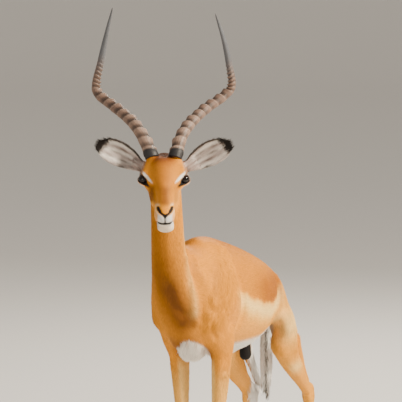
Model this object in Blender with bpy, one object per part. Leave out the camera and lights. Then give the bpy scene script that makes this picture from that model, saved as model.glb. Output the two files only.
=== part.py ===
"""Impala ram, life size, standing square to the viewer with the body swung to its right.

Every part is given as stations along a path: (across, along, height, half width, half depth).
On the body, `across` runs to the animal's left and `along` runs backwards from the withers.
On the head, `across` runs from the middle of the face and `along` is the world's Y axis.
The flesh forms are lofted, grown together into one skin and parted by thin cuts.
"""
import math

import bmesh
import bpy
import numpy as np
from mathutils import Matrix, Vector

# Driving dimensions, in metres.
BODY_YAW = math.radians(19.0)      # the trunk's turn about the vertical, away from the face
WITHERS_X = -0.008                 # the withers' place across the viewer's line
HEAD_X = -0.107                    # the middle plane of the face
GAP = 0.0003                       # clearance left by every cut and between touching parts
CORONET = 0.045                    # height at which flesh ends and hoof begins
CHEST_LINE = 0.549                 # height of the cut that frees the forelegs
KNEE_LINE = 0.345                  # height of the cut above the foreknee
HOCK_CUT = 0.060                   # distance of the cut above the hock, along the shank
CLAW_SPREAD = 0.0112               # half the distance between the two claws of a foot
EYE_RADIUS = 0.0175
EYE_SEAT = (0.0570, -0.334, 1.104)  # centre of an eye, from the middle plane of the face
HORN_RINGS = 13
HORN_RINGED_SHARE = 0.62           # share of the horn's length that carries rings
HIND_TURN = math.radians(24.0)     # the hind feet are turned outwards by this
PASTERN_REACH = (0.016, 0.028)     # how far the hind pastern and coronet lie ahead of the fetlock

# Mesh fineness.
SKIN_VOXEL = 0.006
SKIN_TRIANGLES = 4300
RING_SIDES = 18
HORN_SIDES = 10
CLAW_SIDES = 14
EAR_COLUMNS = 9
SAMPLES_PER_SPAN = 4
END_CAP_TURNS = (0, 35, 65)        # degrees of the rings that round off a form's end
SOFTENING = 0.5                    # strength and rounds of the smoothing of creases
SOFTENING_ROUNDS = 8
SOFT_FROM, SOFT_FULL = 0.42, 0.54  # heights between which the smoothing sets in
HEAD_FROM, HEAD_SOFTNESS = 0.95, 0.35

SIDES = {"left": 1.0, "right": -1.0}
BODY_SIDE = Vector((math.cos(BODY_YAW), -math.sin(BODY_YAW), 0.0))
BODY_BACK = Vector((math.sin(BODY_YAW), math.cos(BODY_YAW), 0.0))
HEAD_SIDE = Vector((1.0, 0.0, 0.0))

# Trunk: chest, ribs, belly, loin and croup.
TRUNK = [
    (0.0, -0.135, 0.715, 0.060, 0.085),
    (0.0, -0.080, 0.722, 0.092, 0.140),
    (0.0, 0.000, 0.727, 0.104, 0.169),
    (0.0, 0.100, 0.711, 0.116, 0.168),
    (0.0, 0.200, 0.692, 0.128, 0.168),
    (0.0, 0.300, 0.678, 0.132, 0.160),
    (0.0, 0.400, 0.672, 0.122, 0.141),
    (0.0, 0.500, 0.671, 0.104, 0.113),
    (0.0, 0.590, 0.670, 0.080, 0.082),
    (0.0, 0.632, 0.684, 0.055, 0.050),
]
SPINE = [
    (0.0, -0.020, 0.872, 0.022, 0.026),
    (0.0, 0.080, 0.866, 0.022, 0.024),
    (0.0, 0.180, 0.846, 0.022, 0.024),
    (0.0, 0.350, 0.806, 0.024, 0.024),
    (0.0, 0.500, 0.764, 0.028, 0.024),
    (0.0, 0.620, 0.716, 0.028, 0.024),
]
BRISKET = [
    (0.0, -0.130, 0.650, 0.042, 0.050),
    (0.0, -0.075, 0.598, 0.046, 0.050),
    (0.0, 0.010, 0.580, 0.044, 0.034),
]
SHEATH = [
    (0.0, 0.290, 0.527, 0.019, 0.019),
    (0.0, 0.350, 0.534, 0.017, 0.018),
    (0.0, 0.395, 0.565, 0.015, 0.016),
]
SCROTUM = [
    (-0.003, 0.456, 0.570, 0.014, 0.014),
    (-0.003, 0.460, 0.530, 0.0175, 0.0180),
    (-0.003, 0.464, 0.487, 0.0205, 0.0210),
]
TAIL = [
    (0.000, 0.655, 0.714, 0.022, 0.022),
    (-0.003, 0.708, 0.702, 0.021, 0.019),
    (-0.010, 0.738, 0.645, 0.024, 0.017),
    (-0.018, 0.738, 0.540, 0.028, 0.018),
    (-0.020, 0.732, 0.400, 0.027, 0.016),
    (-0.020, 0.730, 0.310, 0.014, 0.010),
    (-0.020, 0.730, 0.265, 0.005, 0.005),
]

# Paired forms of the forequarter, for the left side.
SHOULDER_BLADE = [
    (0.034, 0.030, 0.850, 0.030, 0.050),
    (0.066, 0.005, 0.780, 0.036, 0.078),
    (0.073, -0.055, 0.710, 0.043, 0.072),
    (0.067, -0.104, 0.675, 0.040, 0.044),
]
UPPER_ARM = [
    (0.062, -0.085, 0.672, 0.038, 0.048),
    (0.068, -0.020, 0.612, 0.040, 0.058),
    (0.068, 0.035, 0.580, 0.032, 0.044),
]
FORELEG = [
    (0.068, 0.012, 0.610, 0.034, 0.062),
    (0.067, 0.018, 0.540, 0.030, 0.046),
    (0.063, 0.020, 0.460, 0.026, 0.035),
    (0.059, 0.018, 0.390, 0.0225, 0.0265),
    (0.057, 0.018, 0.350, 0.0200, 0.0235),
    (0.057, 0.016, 0.315, 0.0210, 0.0245),
    (0.0565, 0.022, 0.280, 0.0165, 0.0190),
    (0.0555, 0.024, 0.200, 0.0145, 0.0165),
    (0.055, 0.024, 0.125, 0.0150, 0.0175),
    (0.055, 0.024, 0.095, 0.0180, 0.0215),
    (0.055, 0.008, 0.064, 0.0160, 0.0175),
    (0.055, -0.004, 0.036, 0.0200, 0.0230),
]

# Hind legs: the joints of each leg as (across, along, height).
HIND_LEGS = {
    "left": {"side": 1.0, "stifle": (0.096, 0.530, 0.515), "hock": (0.099, 0.810, 0.322),
             "fetlock": (0.112, 0.832, 0.095)},
    "right": {"side": -1.0, "stifle": (-0.096, 0.520, 0.500), "hock": (-0.082, 0.752, 0.318),
              "fetlock": (-0.100, 0.765, 0.095)},
}
HEEL_REACH = (0.016, 0.043, 0.027)   # point of the hock from its centre: inwards, back, up
TENDON_TOP = (0.088, 0.685, 0.510)   # where the tendon leaves the thigh

# Straight cuts. Head axes: middle, normal, half span, half reach of the slab.
NECK_CUT = ((0.035, -0.105, 0.815), (0.10, -0.76, 0.64), 0.22, 0.24)
THROAT_CUT = ((0.0, -0.250, 1.085), (0.0, -0.955, 0.295), 0.075, 0.150)
# Body axes, level cuts through the forelegs: across, along, height, half span, half reach.
FORELEG_CUTS = ((0.067, 0.018, CHEST_LINE, 0.09, 0.052), (0.057, 0.018, KNEE_LINE, 0.05, 0.04))
HOCK_SLAB = (0.014, 0.034, 0.080)     # set back, half span, half reach
# Body axes: middle, share of the normal that points back, share upwards, half span, half reach.
TAIL_CUT = ((-0.003, 0.719, 0.688), 0.62, -0.78, 0.040, 0.036)
SCROTUM_CUT = ((-0.003, 0.460, 0.545), -0.31, 1.0, 0.035, 0.034)

# Neck, in the head's axes.
NECK = [
    (0.002, -0.262, 1.120, 0.046, 0.054),
    (0.004, -0.240, 1.060, 0.0475, 0.062),
    (0.007, -0.215, 0.980, 0.0495, 0.072),
    (0.010, -0.185, 0.900, 0.0525, 0.087),
    (0.018, -0.145, 0.820, 0.0600, 0.106),
    (0.036, -0.095, 0.745, 0.0740, 0.118),
    (0.066, -0.030, 0.690, 0.0800, 0.110),
]

# Head: skull, lower jaw, cheek, brow, ear root and horn core.
SKULL = [
    (0.0, -0.258, 1.138, 0.038, 0.040),
    (0.0, -0.285, 1.130, 0.049, 0.051),
    (0.0, -0.318, 1.108, 0.053, 0.055),
    (0.0, -0.350, 1.083, 0.044, 0.050),
    (0.0, -0.382, 1.058, 0.034, 0.042),
    (0.002, -0.412, 1.034, 0.0290, 0.034),
    (0.003, -0.436, 1.014, 0.0290, 0.029),
    (0.004, -0.450, 1.002, 0.0270, 0.024),
]
LOWER_JAW = [
    (0.0, -0.285, 1.060, 0.036, 0.034),
    (0.0, -0.325, 1.030, 0.030, 0.028),
    (0.001, -0.368, 1.002, 0.024, 0.022),
    (0.003, -0.408, 0.980, 0.0220, 0.018),
    (0.004, -0.430, 0.972, 0.0205, 0.015),
]
CHEEK = [
    (0.026, -0.285, 1.080, 0.022, 0.034),
    (0.022, -0.330, 1.048, 0.018, 0.026),
]
BROW = [
    (0.044, -0.300, 1.132, 0.021, 0.022),
    (0.047, -0.325, 1.114, 0.0235, 0.024),
    (0.040, -0.350, 1.092, 0.019, 0.021),
]
EAR_ROOT = [
    (0.038, -0.268, 1.126, 0.020, 0.020),
    (0.085, -0.272, 1.146, 0.019, 0.018),
]
HORN_CORE = [
    (0.030, -0.300, 1.145, 0.021, 0.023),
    (0.044, -0.284, 1.190, 0.020, 0.022),
]

# Horns: the middle line of each as (across, Y, Z), and (share of the length, half thickness).
HORN_LINES = {
    "right": [
        (0.0400, -0.2920, 1.1770),
        (0.0668, -0.2600, 1.2290),
        (0.1010, -0.2130, 1.2680),
        (0.1540, -0.1560, 1.3070),
        (0.1960, -0.1200, 1.3380),
        (0.2030, -0.1150, 1.3720),
        (0.1875, -0.1280, 1.4400),
        (0.1712, -0.1530, 1.5130),
        (0.1517, -0.1800, 1.5944),
    ],
    "left": [
        (0.0360, -0.2920, 1.1770),
        (0.0520, -0.2600, 1.2250),
        (0.0810, -0.2120, 1.2630),
        (0.1250, -0.1560, 1.3000),
        (0.1760, -0.1180, 1.3340),
        (0.1985, -0.1140, 1.3650),
        (0.1886, -0.1280, 1.4330),
        (0.1722, -0.1530, 1.5050),
        (0.1485, -0.1800, 1.5770),
    ],
}
HORN_THICKNESS = [(0.0, 0.0195), (0.25, 0.0168), (0.5, 0.0150), (0.62, 0.0115), (0.8, 0.0080),
                  (0.92, 0.0048), (1.0, 0.0012)]
RING_RELIEF = 0.0022

# Ear: middle line, then half width and cup depth at each station.
EAR_LINE = [
    (0.0760, -0.2715, 1.1420),
    (0.0980, -0.2760, 1.1550),
    (0.1330, -0.2820, 1.1745),
    (0.1670, -0.2870, 1.1900),
    (0.1935, -0.2900, 1.2010),
]
EAR_HALF_WIDTH = [0.0150, 0.0235, 0.0320, 0.0265, 0.0090]
EAR_CUP = [0.0140, 0.0190, 0.0150, 0.0080, 0.0015]
EAR_THICKNESS = 0.0055
EAR_SEAT_SHARE = 0.10

COLOURS = {
    "coat": ((0.74, 0.37, 0.12), 0.75),
    "ear_coat": ((0.42, 0.30, 0.22), 0.75),
    "tail_hair": ((0.70, 0.62, 0.54), 0.75),
    "dark_skin": ((0.035, 0.028, 0.022), 0.55),
    "horn": ((0.13, 0.10, 0.085), 0.45),
    "hoof": ((0.018, 0.016, 0.015), 0.35),
    "eye": ((0.010, 0.006, 0.004), 0.05),
}


def clear_scene():
    """Remove whatever the scene holds."""
    for thing in list(bpy.data.objects):
        bpy.data.objects.remove(thing, do_unlink=True)


def make_materials():
    """One Principled material for each kind of surface."""
    materials = {}
    for name, (colour, roughness) in COLOURS.items():
        material = bpy.data.materials.new(name)
        material.use_nodes = True
        shader = material.node_tree.nodes["Principled BSDF"]
        shader.inputs["Base Color"].default_value = (*colour, 1.0)
        shader.inputs["Roughness"].default_value = roughness
        shader.inputs["Metallic"].default_value = 0.0
        materials[name] = material
    return materials


def smooth_rows(rows, per_span=SAMPLES_PER_SPAN):
    """Carry a smooth (Catmull-Rom) curve through station rows of any width."""
    rows = np.asarray(rows, dtype=float)
    ends = np.vstack([2 * rows[0] - rows[1], rows, 2 * rows[-1] - rows[-2]])
    out = []
    for i in range(len(rows) - 1):
        p0, p1, p2, p3 = ends[i:i + 4]
        for t in np.arange(per_span) / per_span:
            out.append(0.5 * (2 * p1 + (p2 - p0) * t + (2 * p0 - 5 * p1 + 4 * p2 - p3) * t ** 2
                              + (3 * p1 - p0 - 3 * p2 + p3) * t ** 3))
    out.append(rows[-1])
    return np.array(out)


def body_point(across, along, height):
    """A place on the body, in world axes."""
    return Vector((WITHERS_X, 0.0, height)) + BODY_SIDE * across + BODY_BACK * along


def head_point(across, along, height):
    """A place on the head or neck, in world axes."""
    return Vector((HEAD_X + across, along, height))


def ring(bm, centre, side, rise, sides=RING_SIDES):
    """One elliptical ring of vertices."""
    turns = [2 * math.pi * i / sides for i in range(sides)]
    return [bm.verts.new(centre + side * math.cos(a) + rise * math.sin(a)) for a in turns]


def bridge(bm, first, second):
    """Quads between two rings of one size."""
    count = len(first)
    for i in range(count):
        bm.faces.new((first[i], first[(i + 1) % count], second[(i + 1) % count], second[i]))


def loft(bm, rows, place, side_axis, mirror=1.0):
    """Add a closed, round-ended form through station rows."""
    rows = smooth_rows(rows)
    centres = [place(mirror * row[0], row[1], row[2]) for row in rows]
    rings = []
    for i, row in enumerate(rows):
        before = centres[max(i - 1, 0)]
        after = centres[min(i + 1, len(rows) - 1)]
        tangent = (after - before).normalized()
        side = (side_axis - tangent * side_axis.dot(tangent)).normalized()
        rise = tangent.cross(side)
        half_width, half_depth = max(row[3], 0.001), max(row[4], 0.001)
        bulge = min(half_width, half_depth)
        end = {0: -1.0, len(rows) - 1: 1.0}.get(i, 0.0)
        steps = [0.0] if end == 0.0 else [math.radians(a) for a in END_CAP_TURNS]
        cap = []
        for angle in steps:
            centre = centres[i] + tangent * (end * bulge * math.sin(angle))
            shrink = math.cos(angle)
            cap.append(ring(bm, centre, side * half_width * shrink, rise * half_depth * shrink))
        rings.extend(reversed(cap) if end < 0 else cap)
    for first, second in zip(rings, rings[1:]):
        bridge(bm, first, second)
    bm.faces.new(reversed(rings[0]))
    bm.faces.new(rings[-1])


def hind_side(side):
    """The sideways axis of a hind leg, whose foot is turned outwards."""
    return BODY_SIDE * math.cos(HIND_TURN) + BODY_BACK * (side * math.sin(HIND_TURN))


def hind_heel(leg):
    """The point of the hock."""
    inwards, back, up = HEEL_REACH
    return np.array(leg["hock"]) + np.array((-leg["side"] * inwards, back, up))


def hind_rows(leg):
    """Station rows of one hind leg's thigh, shank, tendon and foot."""
    side = leg["side"]
    knee, hock, fetlock = (np.array(leg[key]) for key in ("stifle", "hock", "fetlock"))
    heel = hind_heel(leg)
    shank = hock - knee
    cannon = fetlock - hock
    thigh = [
        (side * 0.040, 0.568, 0.682, 0.033, 0.050),
        (side * 0.052, 0.584, 0.645, 0.041, 0.086),
        (side * 0.068, 0.592, 0.602, 0.044, 0.101),
        (side * 0.084, 0.590, 0.555, 0.043, 0.098),
        (knee[0] * 0.97, knee[1] + 0.060, 0.500, 0.037, 0.070),
    ]
    lower = [(*(knee + shank * share), wide, deep) for share, wide, deep in (
        (0.00, 0.037, 0.050), (0.25, 0.035, 0.050), (0.50, 0.030, 0.042), (0.72, 0.0235, 0.032),
        (0.90, 0.0205, 0.028))]
    top = np.array(TENDON_TOP) * (side, 1.0, 1.0)
    tendon = [
        (*top, 0.022, 0.032),
        (*(0.5 * (heel + top) + (0.0, 0.010, -0.012)), 0.013, 0.018),
        (*heel, 0.0105, 0.0125),
    ]
    foot = [(*(hock + cannon * share), wide, deep) for share, wide, deep in (
        (-0.06, 0.0215, 0.0310), (0.07, 0.0220, 0.0310), (0.22, 0.0165, 0.0220),
        (0.55, 0.0145, 0.0175), (0.86, 0.0150, 0.0180), (1.00, 0.0180, 0.0215))]
    ahead = np.array((side * math.sin(HIND_TURN), -math.cos(HIND_TURN), 0.0))
    for reach, end in zip(PASTERN_REACH, FORELEG[-2:]):
        foot.append((*(fetlock + reach * ahead)[:2], *end[2:]))
    return thigh, lower, tendon, foot


def evaluated_mesh(thing):
    """The mesh of an object with its modifiers applied, as the viewport shows it."""
    bpy.context.view_layer.update()
    graph = bpy.context.evaluated_depsgraph_get()
    return bpy.data.meshes.new_from_object(thing.evaluated_get(graph))


def new_object(name, mesh):
    """Put a mesh in the scene."""
    thing = bpy.data.objects.new(name, mesh)
    bpy.context.scene.collection.objects.link(thing)
    return thing


def finish_bmesh(name, bm):
    """Turn a bmesh into a named mesh with its faces pointing outwards."""
    bmesh.ops.recalc_face_normals(bm, faces=bm.faces)
    mesh = bpy.data.meshes.new(name)
    bm.to_mesh(mesh)
    bm.free()
    return mesh


def flesh_mesh():
    """All flesh forms lofted, grown together, softened and simplified."""
    bm = bmesh.new()
    for rows in (TRUNK, SPINE, BRISKET, SHEATH, SCROTUM, TAIL):
        loft(bm, rows, body_point, BODY_SIDE)
    for rows in (NECK, SKULL, LOWER_JAW):
        loft(bm, rows, head_point, HEAD_SIDE)
    for mirror in (1.0, -1.0):
        for rows in (SHOULDER_BLADE, UPPER_ARM, FORELEG):
            loft(bm, rows, body_point, BODY_SIDE, mirror)
        for rows in (CHEEK, BROW, EAR_ROOT, HORN_CORE):
            loft(bm, rows, head_point, HEAD_SIDE, mirror)
    for leg in HIND_LEGS.values():
        for rows in hind_rows(leg):
            loft(bm, rows, body_point, hind_side(leg["side"]))
    rough = new_object("flesh_forms", finish_bmesh("flesh_forms", bm))
    remesh = rough.modifiers.new("grow_together", "REMESH")
    remesh.mode = "VOXEL"
    remesh.voxel_size = SKIN_VOXEL
    grown = new_object("flesh_grown", evaluated_mesh(rough))
    bpy.data.objects.remove(rough)

    # Creases are softened on the body and head, and left alone on the slim lower legs.
    soft = grown.vertex_groups.new(name="soft")
    for vertex in grown.data.vertices:
        height = vertex.co.z
        weight = min(max((height - SOFT_FROM) / (SOFT_FULL - SOFT_FROM), 0.0), 1.0)
        if height > HEAD_FROM:
            weight = HEAD_SOFTNESS
        soft.add([vertex.index], weight, "REPLACE")
    smooth = grown.modifiers.new("soften", "SMOOTH")
    smooth.vertex_group = soft.name
    smooth.factor = SOFTENING
    smooth.iterations = SOFTENING_ROUNDS
    simplify = grown.modifiers.new("simplify", "DECIMATE")
    simplify.ratio = SKIN_TRIANGLES / (2.0 * len(grown.data.polygons))
    mesh = evaluated_mesh(grown)
    bpy.data.objects.remove(grown)
    return mesh


def slab(bm, centre, normal, span_axis, half_span, half_reach, thickness=GAP):
    """Add a thin box across `normal`, reaching `half_span` along one axis of its plane."""
    normal = normal.normalized()
    span = (span_axis - normal * span_axis.dot(normal)).normalized()
    reach = normal.cross(span)
    corners = []
    for up in (-0.5 * thickness, 0.5 * thickness):
        for a, b in ((-1, -1), (1, -1), (1, 1), (-1, 1)):
            corners.append(bm.verts.new(centre + normal * up + span * (a * half_span)
                                        + reach * (b * half_reach)))
    for face in ((0, 1, 2, 3), (4, 5, 6, 7), (0, 1, 5, 4), (1, 2, 6, 5), (2, 3, 7, 6), (3, 0, 4, 7)):
        bm.faces.new([corners[i] for i in face])


def cut_away(mesh, cutter_mesh):
    """Boolean difference of one mesh by a closed cutter."""
    target = new_object("target", mesh)
    cutter = new_object("cutter", cutter_mesh)
    cutter.hide_render = True
    cutter.display_type = "WIRE"
    cut = target.modifiers.new("cut", "BOOLEAN")
    cut.operation = "DIFFERENCE"
    cut.solver = "EXACT"
    cut.object = cutter
    result = evaluated_mesh(target)
    bpy.data.objects.remove(target)
    bpy.data.objects.remove(cutter)
    return result


def straight_cuts():
    """The cuts at neck, throat, legs, tail and scrotum, which don't cross one another."""
    up = Vector((0.0, 0.0, 1.0))
    bm = bmesh.new()
    for place, normal, half_span, half_reach in (NECK_CUT, THROAT_CUT):
        slab(bm, head_point(*place), Vector(normal), HEAD_SIDE, half_span, half_reach)
    for side in (1.0, -1.0):
        for across, along, height, half_span, half_reach in FORELEG_CUTS:
            slab(bm, body_point(side * across, along, height), up, BODY_BACK, half_span, half_reach)
    set_back, half_span, half_reach = HOCK_SLAB
    for leg in HIND_LEGS.values():
        knee, hock = Vector(leg["stifle"]), Vector(leg["hock"])
        shank = BODY_SIDE * (hock.x - knee.x) + BODY_BACK * (hock.y - knee.y) + up * (hock.z - knee.z)
        place = hock - (hock - knee).normalized() * HOCK_CUT
        across = hind_side(leg["side"])
        behind = across.cross(shank).normalized() * set_back
        slab(bm, body_point(*place) + behind, shank, across, half_span, half_reach)
    for (place, back, rise, half_span, half_reach), span in ((TAIL_CUT, BODY_SIDE),
                                                             (SCROTUM_CUT, BODY_BACK)):
        slab(bm, body_point(*place), BODY_BACK * back + up * rise, span, half_span, half_reach)
    return finish_bmesh("straight_cuts", bm)


THIGH_RISE = 1.17      # rise of the thigh cut for each metre across
THIGH_CLIMB = 0.64     # rise of the thigh cut for each metre along
THIGH_FOOT = 0.480     # its height at the middle line, 0.42 behind the withers
THIGH_START = 0.42


def thigh_cut(side):
    """The slanting cut that frees one thigh, from the groin up to the hip."""
    normal = (Vector((0.0, 0.0, 1.0)) - BODY_SIDE * (side * THIGH_RISE) - BODY_BACK * THIGH_CLIMB)
    span = BODY_SIDE * side + Vector((0.0, 0.0, THIGH_RISE))
    half_span = 0.17
    inner = 0.004
    across = half_span / math.hypot(1.0, THIGH_RISE) - inner
    along = 0.53
    height = THIGH_FOOT + THIGH_CLIMB * (along - THIGH_START) + THIGH_RISE * across
    bm = bmesh.new()
    slab(bm, body_point(side * across, along, height), normal, span, half_span, 0.19)
    return finish_bmesh("thigh_cut", bm)


def groin_cut():
    """The upright cut between the thighs, below the meeting of the two slanting cuts."""
    down = Vector((0.0, 0.0, -1.0)) + BODY_BACK * THIGH_CLIMB
    along = 0.58
    height = THIGH_FOOT + THIGH_CLIMB * (along - THIGH_START)
    top = body_point(0.0, along, height + 0.004)
    bm = bmesh.new()
    slab(bm, top + down.normalized() * 0.03, BODY_SIDE, down, 0.03, 0.12)
    return finish_bmesh("groin_cut", bm)


def block_below(height):
    """A broad block whose top lies at a height, to trim what hangs below it."""
    bm = bmesh.new()
    slab(bm, Vector((0.1, 0.2, height - 0.05)), Vector((0.0, 0.0, 1.0)), HEAD_SIDE, 1.0, 1.0, 0.10)
    return finish_bmesh("block_below", bm)


def block_beyond(centre, direction, half_size=0.045):
    """A cube whose near face lies at `centre`, square to `direction`, to trim a stub."""
    direction = direction.normalized()
    bm = bmesh.new()
    middle = centre + direction * half_size
    slab(bm, middle, direction, Vector((0.0, 1.0, 0.2)), half_size, half_size, 2 * half_size)
    return finish_bmesh("block_beyond", bm)


def ball(centre, radius):
    """A round cutter or eye."""
    bm = bmesh.new()
    bmesh.ops.create_icosphere(bm, subdivisions=2, radius=radius,
                               matrix=Matrix.Translation(centre))
    return finish_bmesh("ball", bm)


def loose_parts(mesh):
    """Split a mesh into its separate closed bodies, as lists of faces."""
    bm = bmesh.new()
    bm.from_mesh(mesh)
    bmesh.ops.remove_doubles(bm, verts=bm.verts, dist=0.00001)
    bmesh.ops.triangulate(bm, faces=bm.faces)
    unseen = set(bm.verts)
    pieces = []
    while unseen:
        start = unseen.pop()
        group, queue = {start}, [start]
        while queue:
            vertex = queue.pop()
            for edge in vertex.link_edges:
                other = edge.other_vert(vertex)
                if other not in group:
                    group.add(other)
                    queue.append(other)
        unseen -= group
        index = {vertex: i for i, vertex in enumerate(group)}
        faces = {face for vertex in group for face in vertex.link_faces}
        points = [tuple(vertex.co) for vertex in index]
        pieces.append((points, [[index[v] for v in face.verts] for face in faces]))
    bm.free()
    return pieces


def node_centres():
    """The middle of each flesh node, by which a cut piece gets its name."""
    centres = {
        "trunk": body_point(0.0, 0.25, 0.70),
        "neck": head_point(0.005, -0.20, 0.95),
        "head": head_point(0.0, -0.34, 1.09),
        "tail": body_point(-0.015, 0.735, 0.50),
        "scrotum": body_point(-0.003, 0.460, 0.52),
    }
    for name, leg in HIND_LEGS.items():
        side = leg["side"]
        centres["foreleg_upper_" + name] = body_point(side * 0.064, 0.02, 0.45)
        centres["foreleg_lower_" + name] = body_point(side * 0.056, 0.02, 0.20)
        centres["hindleg_upper_" + name] = body_point(side * 0.08, 0.61, 0.56)
        centres["hindleg_lower_" + name] = body_point(leg["hock"][0], leg["hock"][1], 0.20)
    return centres


def horn_mesh(name, mirror):
    """A ringed, lyre-shaped horn: raised rings on the lower part and a smooth tip."""
    line = smooth_rows(HORN_LINES[name], 8)
    steps = np.linalg.norm(np.diff(line, axis=0), axis=1)
    share = np.concatenate([[0.0], np.cumsum(steps)]) / steps.sum()
    stops = np.concatenate([np.linspace(0.0, HORN_RINGED_SHARE, 2 * HORN_RINGS + 1),
                            np.linspace(HORN_RINGED_SHARE, 1.0, 9)[1:]])
    knots, sizes = zip(*HORN_THICKNESS)
    bm = bmesh.new()
    rings = []
    for number, stop in enumerate(stops):
        centre, ahead, back = (
            Vector([np.interp(min(max(at, 0.0), 1.0), share, line[:, axis]) for axis in range(3)])
            for at in (stop, stop + 0.01, stop - 0.01))
        tangent = (ahead - back).normalized()
        side = tangent.cross(Vector((0.0, 1.0, 0.3))).normalized()
        rise = tangent.cross(side)
        size = float(np.interp(stop, knots, sizes))
        if number % 2 and stop < HORN_RINGED_SHARE:
            size += RING_RELIEF
        rings.append(ring(bm, centre, side * size, rise * size * 1.06, HORN_SIDES))
    for first, second in zip(rings, rings[1:]):
        bridge(bm, first, second)
    bm.faces.new(rings[0])
    bm.faces.new(rings[-1])
    for vertex in bm.verts:
        vertex.co = head_point(mirror * vertex.co.x, vertex.co.y, vertex.co.z)
    return finish_bmesh("horn", bm)


def ear_mesh(mirror):
    """A leaf-shaped, cupped ear whose hollow faces forwards, from a solid root to a thin tip."""
    rows = smooth_rows([(*p, w, c) for p, w, c in zip(EAR_LINE, EAR_HALF_WIDTH, EAR_CUP)], 3)
    bm = bmesh.new()
    rings = []
    for i, row in enumerate(rows):
        centre = Vector(row[:3])
        tangent = (Vector(rows[min(i + 1, len(rows) - 1)][:3])
                   - Vector(rows[max(i - 1, 0)][:3])).normalized()
        front = Vector((0.10, -1.0, 0.05))
        front = (front - tangent * front.dot(tangent)).normalized()
        across = tangent.cross(front)
        progress = i / (len(rows) - 1)
        opening = min(max((progress - EAR_SEAT_SHARE) / 0.25, 0.0), 1.0)
        back_side, front_side = [], []
        for j in range(EAR_COLUMNS):
            u = -1.0 + 2.0 * j / (EAR_COLUMNS - 1)
            bow = row[4] * (1.0 - u * u)
            wall = EAR_THICKNESS * (1.0 - 0.6 * progress) * (1.0 - 0.55 * u * u)
            solid = row[4] * 1.9 * math.sqrt(max(1.0 - u * u, 0.0)) + 0.002
            lift = wall * opening + solid * (1.0 - opening)
            place = centre + across * (u * row[3]) - front * bow
            back_side.append(bm.verts.new(place - front * (0.5 * wall)))
            front_side.append(bm.verts.new(place - front * (0.5 * wall) + front * lift))
        rings.append(back_side + front_side[::-1])
    for first, second in zip(rings, rings[1:]):
        bridge(bm, first, second)
    bm.faces.new(rings[0])
    bm.faces.new(rings[-1])
    for vertex in bm.verts:
        vertex.co = head_point(mirror * vertex.co.x, vertex.co.y, vertex.co.z)
    return finish_bmesh("ear", bm)


def ear_seat(mirror):
    """The plane between an ear and its root: a point and the direction away from the head."""
    root = Vector(EAR_LINE[0])
    direction = (Vector(EAR_LINE[1]) - root).normalized()
    return (head_point(mirror * root.x, root.y, root.z),
            Vector((mirror * direction.x, direction.y, direction.z)))


def horn_seat(name, mirror):
    """The plane between a horn and its core."""
    line = smooth_rows(HORN_LINES[name], 8)
    root = Vector(line[0])
    direction = (Vector(line[1]) - root).normalized()
    return (head_point(mirror * root.x, root.y, root.z),
            Vector((mirror * direction.x, direction.y, direction.z)))


def claw_mesh(place, across_axis, back_axis, inner):
    """One half of a cloven hoof: flat sole, pointed toe and sloping front wall."""
    levels = [(0.0, 0.0335, 0.0102, -0.012), (0.010, 0.0320, 0.0102, -0.011),
              (CORONET - GAP, 0.0215, 0.0095, -0.001)]
    bm = bmesh.new()
    rings = []
    for height, half_length, half_width, shift in levels:
        loop = []
        for i in range(CLAW_SIDES):
            turn = 2.0 * math.pi * i / CLAW_SIDES
            along = math.cos(turn)
            taper = 1.0 - 0.45 * max(-along, 0.0) ** 2
            across = math.sin(turn) * taper
            flat = 0.80 if across * inner > 0 else 1.0
            point = place + across_axis * (across * half_width * flat)
            point = point + back_axis * (along * half_length + shift)
            loop.append(bm.verts.new((point.x, point.y, height)))
        rings.append(loop)
    for first, second in zip(rings, rings[1:]):
        bridge(bm, first, second)
    bm.faces.new(rings[0])
    bm.faces.new(rings[-1])
    return finish_bmesh("claw", bm)


def feet():
    """Each foot as (node prefix, place of its coronet, sideways axis)."""
    out = []
    for name, leg in HIND_LEGS.items():
        side = leg["side"]
        across, along = FORELEG[-1][:2]
        out.append(("hoof_front_" + name, body_point(side * across, along, 0.0), BODY_SIDE))
        foot = hind_rows(leg)[3][-1]
        out.append(("hoof_hind_" + name, body_point(foot[0], foot[1], 0.0), hind_side(side)))
    return out


def add_node(root, name, mesh, material, sharp=40.0):
    """Name a finished mesh, put its origin at its middle and hang it under the root."""
    mesh.name = name
    corners = np.array([vertex.co for vertex in mesh.vertices])
    middle = Vector((corners.min(axis=0) + corners.max(axis=0)) / 2)
    mesh.transform(Matrix.Translation(-middle))
    mesh.materials.clear()
    mesh.materials.append(material)
    mesh.shade_smooth()
    mesh.set_sharp_from_angle(angle=math.radians(sharp))
    node = new_object(name, mesh)
    node.parent = root
    node.location = middle
    return node


def settle(root, nodes):
    """Shift the whole animal so that the middle of its box stands over the world's origin."""
    low = np.array([np.inf] * 3)
    high = -low
    for node in nodes:
        points = np.array([vertex.co for vertex in node.data.vertices]) + np.array(node.location)
        low = np.minimum(low, points.min(axis=0))
        high = np.maximum(high, points.max(axis=0))
    root.location = (-(low[0] + high[0]) / 2, -(low[1] + high[1]) / 2, -low[2])


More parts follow.
